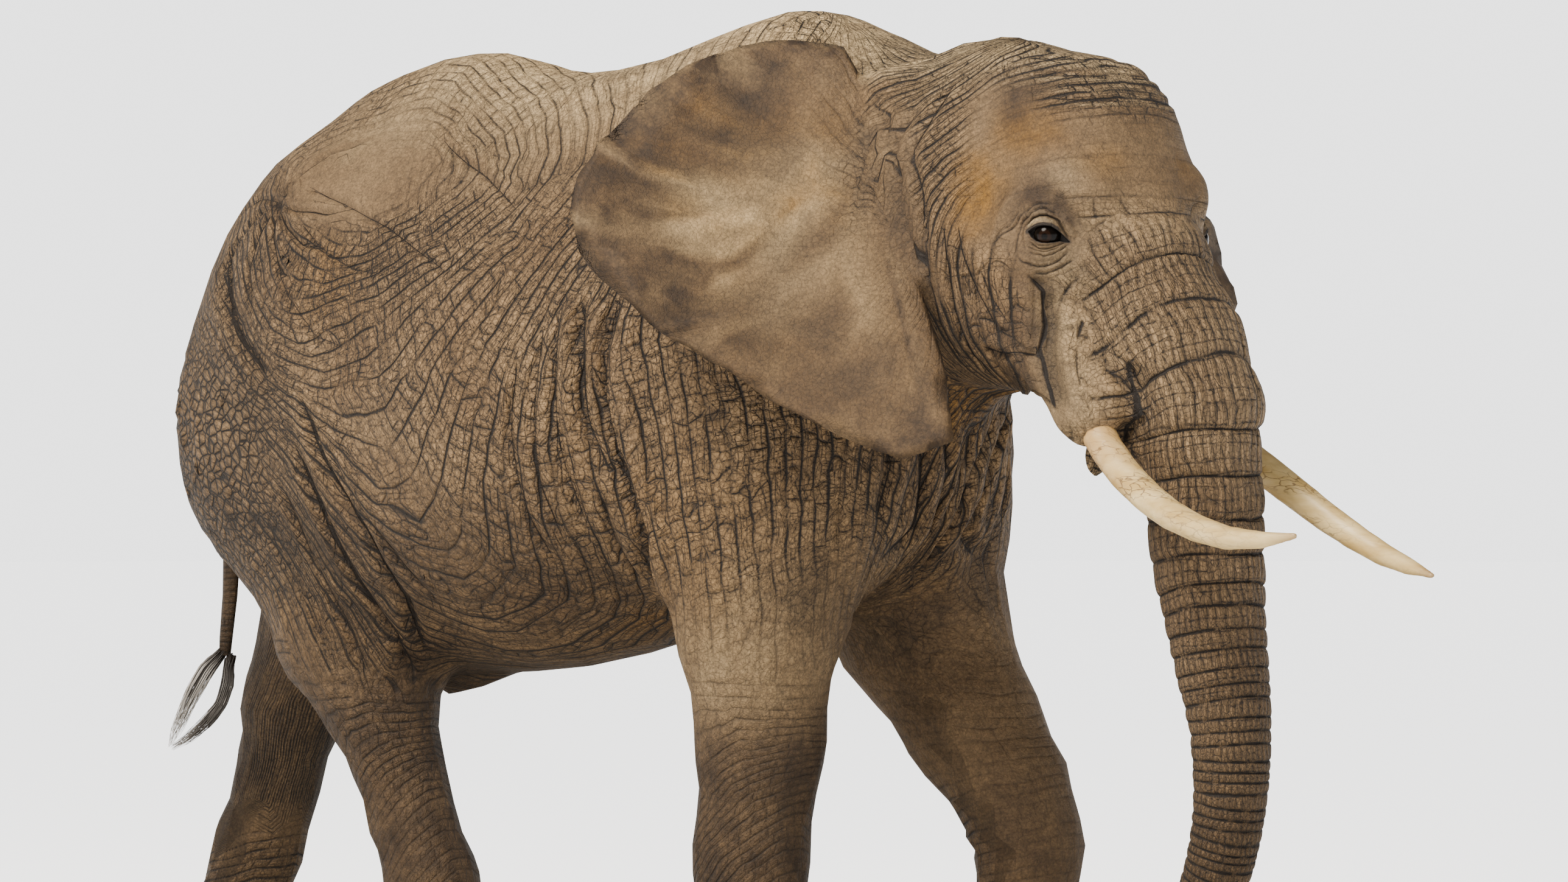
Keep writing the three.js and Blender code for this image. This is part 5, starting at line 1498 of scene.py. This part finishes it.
def hide_colour(add, place, tone, cushion):
    """Grey-brown hide, sandy pale tone with painted highlights, ochre earth, and dark tone that is mostly
    painted shade; paler on the cushions, as wear, with painted shade towards their edges.
    """
    blotch = noise_between(add, place, 3.2, 4.0, 0.6, 0.35, 0.65)
    colour = add("Mix", {0: blotch, 6: linear("5e4930"), 7: linear("765f42")}, out=2, data_type="RGBA")
    ochre, dark, pale = tone
    cloudy = noise_between(add, place, 14.0, 3.0, 0.65, 0.3, 0.7, 0.45, 1.3)
    for amount, tint in ((pale, "b39b74"), (ochre, "7c5614"), (dark, "3b2c1c")):
        amount = add("Math", {0: amount, 1: cloudy}, operation="MULTIPLY", use_clamp=True)
        colour = add("Mix", {0: amount, 6: colour, 7: linear(tint)}, out=2, data_type="RGBA")
    speckle = noise_between(add, place, 150.0, 2.0, 0.7, 0.3, 0.7, 0.66, 1.30)
    mottle = noise_between(add, place, 42.0, 3.0, 0.6, 0.3, 0.7, 0.80, 1.20)
    speckle = add("Math", {0: speckle, 1: mottle}, operation="MULTIPLY")
    # paler in the middle of each cushion: wear on its top, and painted shade towards its creases
    worn = add("Math", {0: cushion, 1: 0.45, 2: 0.75}, operation="MULTIPLY_ADD")
    worn = add("Math", {0: worn, 1: speckle}, operation="MULTIPLY")
    return add("VectorMath", {0: colour, 3: worn}, operation="SCALE")


def make_hide():
    """Elephant hide: dry, dusty and matt, deeply creased into cushions, with painted shade down in the
    creases.
    """
    f = Finish("elephant hide")
    add = f.add
    place = add("TexCoord", {}, out=3)
    read = {
        name: add("Attribute", {}, out=1, attribute_name=name)
        for name in ("flank", "visage", "limb", "pitch", "zone", "crease", "tone", "hollow")
    }
    part = {
        name: [add("SeparateXYZ", {0: read[name]}, out=k) for k in range(3)]
        for name in ("pitch", "zone", "crease", "tone", "hollow")
    }
    apart, length, finer_apart = part["pitch"]
    face, limbs, pebbled = part["zone"]
    lines, crosses, stray = part["crease"]
    hollow, margin, strong = part["hollow"]
    wander = add("TexNoise", {"Vector": place, "Scale": 9.0, "Detail": 1.5, "Roughness": 0.45}, out=1)
    wander = add("VectorMath", {0: wander, 1: (0.5, 0.5, 0.5)}, operation="SUBTRACT")
    run, fade, ragged = chosen_run(add, place, read, (face, limbs))
    count, sway = strayed(add, run, wander, stray, part["pitch"])

    cut, off_mm = long_creases(add, count, apart, lines)
    split, gap_mm = cross_creases(add, count, sway, length, crosses)
    thread = fine_lines(add, count, sway, finer_apart, lines)
    across = fine_crosses(add, count, sway, length, crosses)
    thread = add("Math", {0: thread, 1: across}, operation="MAXIMUM")

    # small cells between the creases, drawn out along them, and crackle of about 14 mm
    edges = {"feature": "DISTANCE_TO_EDGE"}
    spot = add("CombineXYZ", {0: count[0], 1: count[1]})
    small = add("TexVoronoi", {"Vector": spot, "Scale": 2.1}, voronoi_dimensions="2D", **edges)
    small = groove(add, small, 0.13, lines, 0.75)
    thread = add("Math", {0: thread, 1: small}, operation="MAXIMUM")
    bent = add("VectorMath", {0: wander, 1: (0.03, 0.03, 0.03), 2: place}, operation="MULTIPLY_ADD")
    crackle = add("TexVoronoi", {"Vector": bent, "Scale": 70.0}, **edges)
    crackled = add("Math", {0: lines, 1: 0.7, 2: 0.4}, operation="MULTIPLY_ADD")
    crackle = groove(add, crackle, 0.09, crackled)

    # and the coarse pebbles of the haunch, about 29 mm
    pebble = add("TexVoronoi", {"Vector": bent, "Scale": 34.0}, **edges)
    pebble_mm = add("Math", {0: pebble, 1: 29.0}, operation="MULTIPLY")
    ditch = groove(add, pebble_mm, 3.6, pebbled)
    grain = add("TexNoise", {"Vector": place, "Scale": 240.0, "Detail": 2.0, "Roughness": 0.6})

    # the creases together, faded where two runs meet
    deepest = add("Math", {0: cut, 1: split}, operation="MAXIMUM")
    deepest = add("Math", {0: deepest, 1: fade}, operation="MULTIPLY")
    for pattern in (ditch, great_folds(add, sway, ragged, strong)):
        deepest = add("Math", {0: deepest, 1: pattern}, operation="MAXIMUM")
    thread = add("Math", {0: thread, 1: fade}, operation="MULTIPLY")
    cushion = add("Math", {0: off_mm, 1: gap_mm}, operation="MINIMUM")
    cushion = add("MapRange", {0: cushion, 1: 0.0, 2: 13.0}, interpolation_type="SMOOTHSTEP")
    stone = add("MapRange", {0: pebble_mm, 1: 0.0, 2: 12.0}, interpolation_type="SMOOTHSTEP")
    cushion = add("Math", {0: cushion, 1: lines}, operation="MULTIPLY")
    cushion = add("Math", {0: stone, 1: pebbled, 2: cushion}, operation="MULTIPLY_ADD")
    high = add("Math", {0: cushion, 1: 5.6}, operation="MULTIPLY")
    for depth, pattern in ((-6.0, deepest), (-2.8, thread), (-1.1, crackle), (1.2, grain)):
        high = add("Math", {0: pattern, 1: depth, 2: high}, operation="MULTIPLY_ADD")
    bump = add("Bump", {"Height": high, "Distance": 0.001, "Strength": 1.0})

    # painted shade in the creases and hollows, and dark on the wet margins of the lids, with painted shade
    # under the upper lid's roll
    shade = deepest
    for depth, pattern in ((0.66, thread), (0.36, crackle)):
        shade = add("Math", {0: pattern, 1: depth, 2: shade}, operation="MULTIPLY_ADD")
    sunk = add("Math", {0: hollow, 1: 0.0}, operation="MAXIMUM")
    shade = add("Math", {0: sunk, 1: 0.35, 2: shade}, operation="MULTIPLY_ADD", use_clamp=True)
    colour = hide_colour(add, place, part["tone"], cushion)
    for amount, tint in ((shade, "160f09"), (margin, "17110d")):
        colour = add("Mix", {0: amount, 6: colour, 7: linear(tint)}, out=2, data_type="RGBA")
    f.set(base_color=colour, roughness=0.78, normal=bump)
    f.shader.inputs["Specular IOR Level"].default_value = 0.35
    return f.material


# ------------------------------------------------- eyes, tusks, nails and tuft


def dressed(piece, material, slot, *replaced):
    """Gives a piece its finish and enters it in the frame."""
    piece.data.materials.clear()
    piece.data.materials.append(material)
    piece.data.polygons.foreach_set("use_smooth", [True] * len(piece.data.polygons))
    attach(piece, "root")
    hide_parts(*replaced)


def make_eye(side):
    """The eyeball: a round brown iris, turned towards where the animal looks."""
    form = bmesh.new()
    place = Matrix.Translation(EYES[side])
    bmesh.ops.create_uvsphere(form, u_segments=64, v_segments=40, radius=EYE_RADIUS, matrix=place)
    eye = piece_of(f"eyeball_{side}", form)
    outward = Vector(GAZE[side][0])
    gaze = Vector((outward.x, outward.y, -0.10)).normalized()
    pupil = np.array(EYES[side] + gaze * EYE_RADIUS)
    add_value(eye.data, "iris", np.linalg.norm(coordinates(eye.data) - pupil, axis=1) * 1000)
    return eye


def eye_finish():
    """A wet eyeball: nearly black, with a dark brown iris round the pupil."""
    f = Finish("wet eye")
    away = f.add("Attribute", {}, out=2, attribute_name="iris")
    place = f.add("TexCoord", {}, out=3)
    fleck = f.add("TexNoise", {"Vector": place, "Scale": 320.0, "Detail": 3.0})
    away = f.add("Math", {0: fleck, 1: 5.0, 2: away}, operation="MULTIPLY_ADD")
    ring = f.add("MapRange", {0: away, 1: 9.0, 2: 12.0}, interpolation_type="SMOOTHSTEP")
    colour = f.add("Mix", {0: ring, 6: linear("060403"), 7: linear("1a0f09")}, out=2, data_type="RGBA")
    rim = f.add("MapRange", {0: away, 1: 17.0, 2: 22.0}, interpolation_type="SMOOTHSTEP")
    colour = f.add("Mix", {0: rim, 6: colour, 7: linear("0a0705")}, out=2, data_type="RGBA")
    f.set(base_color=colour, roughness=0.15)
    f.shader.inputs["Specular IOR Level"].default_value = 0.1
    return f.material


def carved(name, size, rounds):
    """One hard piece woven over its node and relaxed, then pushed back to the node's size."""
    piece = woven([name], (), f"finished_{name}", size)
    mesh = piece.data
    weave = Weave(mesh)
    start = coordinates(mesh)
    co = weave.relax(start, np.full(len(start), float(rounds)))
    set_coordinates(mesh, co)
    out = normals(mesh)
    shrunk = weave.smooth(np.einsum("ij,ij->i", start - co, out), 30) - SWOLLEN
    set_coordinates(mesh, co + out * np.clip(shrunk, -0.004, 0.006)[:, None])
    return piece


def make_tusk(side):
    tusk = carved(f"tusk_{side}", 0.006, 24)
    mesh = tusk.data
    at, out = coordinates(mesh), normals(mesh)
    head = to_head(at + ORIGIN)
    share = (head[:, 0] - head[:, 0].min()) / np.ptp(head[:, 0])
    dent = 0.0008 * cloud(head * np.array([0.35, 1.0, 1.0]), 0.02, 71) * ramp(0.95, 0.6, share)
    set_coordinates(mesh, at + out * dent[:, None])
    add_value(mesh, "share", share)
    return tusk


def ivory():
    """Worn ivory: cream, tan and cracked towards the root, brown in the cracks and at the tip."""
    f = Finish("worn ivory")
    add = f.add
    place = add("TexCoord", {}, out=3)
    share = add("Attribute", {}, out=2, attribute_name="share")
    drawn = add("Mapping", {0: place, 2: (0.0, math.radians(14), math.radians(-15)), 3: (0.30, 1.0, 1.0)})
    blotch = noise_between(add, drawn, 22.0, 4.0, 0.6, 0.35, 0.65)
    colour = add("Mix", {0: blotch, 6: linear("b99a5c"), 7: linear("d9bf88")}, out=2, data_type="RGBA")
    stain = add("TexNoise", {"Vector": drawn, "Scale": 9.0, "Detail": 3.0})
    for low, high, tint, most in ((0.30, 0.0, "9a6c3a", 0.95), (0.90, 1.0, "7d5b3a", 0.8)):
        reach = add("MapRange", {0: share, 1: low, 2: high, 4: most})
        uneven = add("MapRange", {0: stain, 1: 0.3, 2: 0.7, 3: 0.3, 4: 1.2})
        reach = add("Math", {0: reach, 1: uneven}, operation="MULTIPLY", use_clamp=True)
        colour = add("Mix", {0: reach, 6: colour, 7: linear(tint)}, out=2, data_type="RGBA")
    bent = add("TexNoise", {"Vector": drawn, "Scale": 60.0, "Detail": 2.0}, out=1)
    bent = add("VectorMath", {0: bent, 1: (0.02, 0.02, 0.02), 2: drawn}, operation="MULTIPLY_ADD")
    crack = add("TexVoronoi", {"Vector": bent, "Scale": 55.0}, feature="DISTANCE_TO_EDGE")
    cracked = add("MapRange", {0: stain, 1: 0.44, 2: 0.56})
    rooted = add("MapRange", {0: share, 1: 0.85, 2: 0.35, 3: 0.15, 4: 1.0})
    crack = groove(add, crack, 0.075, add("Math", {0: cracked, 1: rooted}, operation="MULTIPLY"))
    brown = add("Math", {0: crack, 1: 0.8}, operation="MULTIPLY")
    colour = add("Mix", {0: brown, 6: colour, 7: linear("5b4129")}, out=2, data_type="RGBA")
    grain = add("TexNoise", {"Vector": drawn, "Scale": 160.0, "Detail": 3.0})
    high = add("Math", {0: crack, 1: -1.2, 2: grain}, operation="MULTIPLY_ADD")
    bump = add("Bump", {"Height": high, "Distance": 0.0006, "Strength": 1.0})
    f.set(base_color=colour, roughness=0.42, normal=bump)
    return f.material


def horn():
    """Toenails of dull pale horn, worn dark and scratched downwards."""
    f = Finish("dull nail horn")
    add = f.add
    place = add("TexCoord", {}, out=3)
    drawn = add("Mapping", {0: place, 3: (1.0, 1.0, 0.12)})
    streak = add("TexNoise", {"Vector": drawn, "Scale": 90.0, "Detail": 4.0, "Roughness": 0.65})
    worn = add("MapRange", {0: streak, 1: 0.3, 2: 0.7})
    colour = add("Mix", {0: worn, 6: linear("8b7355"), 7: linear("bba586")}, out=2, data_type="RGBA")
    height = add("SeparateXYZ", {0: place}, out=2)
    mud = add("TexNoise", {"Vector": place, "Scale": 30.0, "Detail": 3.0})
    mud = add("Math", {0: mud, 1: 0.05, 2: height}, operation="MULTIPLY_ADD")
    mud = add("MapRange", {0: mud, 1: 0.075, 2: 0.03, 4: 0.75})
    colour = add("Mix", {0: mud, 6: colour, 7: linear("574433")}, out=2, data_type="RGBA")
    bump = add("Bump", {"Height": streak, "Distance": 0.0015, "Strength": 1.0})
    f.set(base_color=colour, roughness=0.6, normal=bump)
    return f.material


# The tuft parts into two locks that meet again at its tip: how far each lies
# beside the straight line from root to tip, and half its thickness, in mm.
LOCK_STEPS = [0.0, 0.1, 0.2, 0.4, 0.62, 0.9, 1.0]
LOCKS = {
    "fore": ([14, 32, 46, 60, 52, 27, 6], [14, 20, 21, 17, 18, 15, 5]),
    "rear": ([-14, -24, -28, -26, -20, -9, -2], [14, 22, 25, 25, 21, 14, 5]),
}


TUFT_ROOT = (-1.338, 0.0, 1.040)
TUFT_LENGTH = 0.290
STRANDS = 300
FORE_STRANDS = 185


def make_tuft():
    """Flat wiry strands in two locks that bow apart and meet at the tip."""
    whole = bmesh.new()
    uv = whole.loops.layers.uv.new("OFBake")
    shade = whole.verts.layers.float.new("shade")
    chance = np.random.default_rng(7)
    root = Vector(TUFT_ROOT) - Vector(ORIGIN)
    level = Vector((0.8, 0.6, 0.0))
    down = (level * -0.52 - Vector((0.0, 0.0, 0.855))).normalized()
    aside = (level * 0.855 - Vector((0.0, 0.0, 0.52))).normalized()
    deep = down.cross(aside)
    for number in range(STRANDS):
        lock = "fore" if number < FORE_STRANDS else "rear"
        turn, climb, reach, grey, twist, wave = chance.random(6)
        around = turn * math.tau
        out = math.sqrt(wave)
        form = bmesh.new()
        bmesh.ops.create_cone(form, cap_ends=True, segments=4, radius1=0.0019, radius2=0.0003, depth=1.0)
        sides = [e for e in form.edges if abs(e.verts[0].co.z - e.verts[1].co.z) > 0.5]
        bmesh.ops.subdivide_edges(form, edges=sides, cuts=8)
        start, length = 0.10 * climb - 0.08, 0.62 + 0.42 * reach ** 0.6
        for vert in form.verts:
            t = start + (length - start) * (vert.co.z + 0.5)
            middle, half = (np.interp(t, LOCK_STEPS, row) / 1000 for row in LOCKS[lock])
            flat = Vector((vert.co.x, vert.co.y * 0.5, 0.0))
            flat.rotate(Matrix.Rotation(twist * math.tau, 3, "Z"))
            stray = 0.004 * math.sin(9 * t + 20 * grey) * t
            beside = middle + half * out * math.cos(around) + stray
            behind = (0.006 + half * 0.8) * out * math.sin(around)
            vert.co = root + down * (TUFT_LENGTH * t) + aside * (beside + flat.x) + deep * (behind + flat.y)
        form.normal_update()
        base = len(whole.verts)
        mesh = bpy.data.meshes.new("strand")
        form.to_mesh(mesh)
        form.free()
        whole.from_mesh(mesh)
        bpy.data.meshes.remove(mesh)
        whole.verts.ensure_lookup_table()
        silver = 0.9 * (grey > 0.22) if lock == "rear" else 0.30 * grey + 0.5 * (grey > 0.88)
        for vert in whole.verts[base:]:
            share = np.array((vert.co - root).dot(down) / TUFT_LENGTH)
            vert[shade] = float(silver * ramp(0.0, 0.25, share) + 0.35 * ramp(0.75, 1.0, share))
            across = turn * 0.99 + 0.003 * (vert.index % 2)
            for loop in vert.link_loops:
                loop[uv].uv = (across, climb * 0.99 + 0.003 * min(max(float(share), 0), 1))
    return piece_of("tuft", whole)


def bristle():
    """Wiry tail hair, black to silver grey."""
    f = Finish("tail bristle")
    shade = f.add("Attribute", {}, out=2, attribute_name="shade")
    colour = f.add("Mix", {0: shade, 6: linear("1d1611"), 7: linear("b4afa8")}, out=2, data_type="RGBA")
    f.set(base_color=colour, roughness=0.5)
    return f.material


# ------------------------------------------------------------ floor and light

BACKDROP = 2.6                               # how brightly floor and horizon glow


def make_floor():
    """A pale floor that glows as the backdrop does, but not round the feet."""
    form = bmesh.new()
    bmesh.ops.create_circle(form, cap_ends=True, segments=96, radius=60)
    floor = piece_of("floor", form)
    f = Finish("matt studio floor")
    place = f.add("TexCoord", {}, out=3)
    reach = f.add("VectorMath", {0: place}, out=1, operation="LENGTH")
    glow = f.add("MapRange", {0: reach, 1: 2.6, 2: 6.0, 4: BACKDROP}, interpolation_type="SMOOTHERSTEP")
    f.set(base_color=linear("dcd8d0"), roughness=0.9)
    f.set(emission_color=(1.0, 1.0, 1.0, 1.0), emission_strength=glow)
    floor.data.materials.append(f.material)


def make_sky():
    """A studio that is white at the horizon and dim overhead."""
    world = bpy.data.worlds.new("studio")
    scene.world = world
    world.use_nodes = True
    sky = world.node_tree
    way = sky.nodes.new("ShaderNodeTexCoord")
    rise = sky.nodes.new("ShaderNodeSeparateXYZ")
    level = sky.nodes.new("ShaderNodeMapRange")
    sky.links.new(way.outputs["Generated"], rise.inputs[0])
    sky.links.new(rise.outputs[2], level.inputs[0])
    for socket, value in zip(level.inputs[1:5], (0.09, 0.20, BACKDROP + 0.1, 0.17)):
        socket.default_value = value
    sky.links.new(level.outputs[0], sky.nodes["Background"].inputs["Strength"])
    sky.nodes["Background"].inputs["Color"].default_value = (1, 1, 1, 1)


def add_light(name, place, aim, size, power, tint):
    lamp = bpy.data.lights.new(name, "AREA")
    lamp.shape = "DISK"
    lamp.size = size
    lamp.energy = power
    lamp.color = linear(tint)[:3]
    light = bpy.data.objects.new(name, lamp)
    light.location = place
    light.rotation_euler = (Vector(place) - Vector(aim)).to_track_quat("Z", "Y").to_euler()
    scene.collection.objects.link(light)


# ------------------------------------------------------------------ the model

make_camera()
body_run = Run(
    BODY_RUN, (-1.5, 0.9), (1.7, 3.1), lambda x: np.stack([ramp(0.5, 0, x), ramp(-0.1, 0.4, x)], axis=1)
)
face_run = Run(FACE_RUN, (-0.15, 1.5), (0.90, 2.9), lambda x: np.stack([0.5 + 0 * x, 1 + 0 * x], axis=1))
skin = make_skin()
chart_hide(skin)
dressed(skin, make_hide(), "skin", *FLESH)

wet_eye, worn_ivory, nail_horn = eye_finish(), ivory(), horn()
for side in ("right", "left"):
    dressed(make_eye(side), wet_eye, "eye", f"eye_{side}")
    dressed(make_tusk(side), worn_ivory, "ivory", f"tusk_{side}")
for name in sorted(nodes):
    if name.startswith("nail"):
        dressed(carved(name, 0.004, 6), nail_horn, "nail", name)
dressed(make_tuft(), bristle(), "hair", "tail_tuft")

make_floor()
make_sky()
add_light("key", (0.2, -6.2, 9.0), (0, 0, 1.6), 5.0, 2100, "fff6ea")
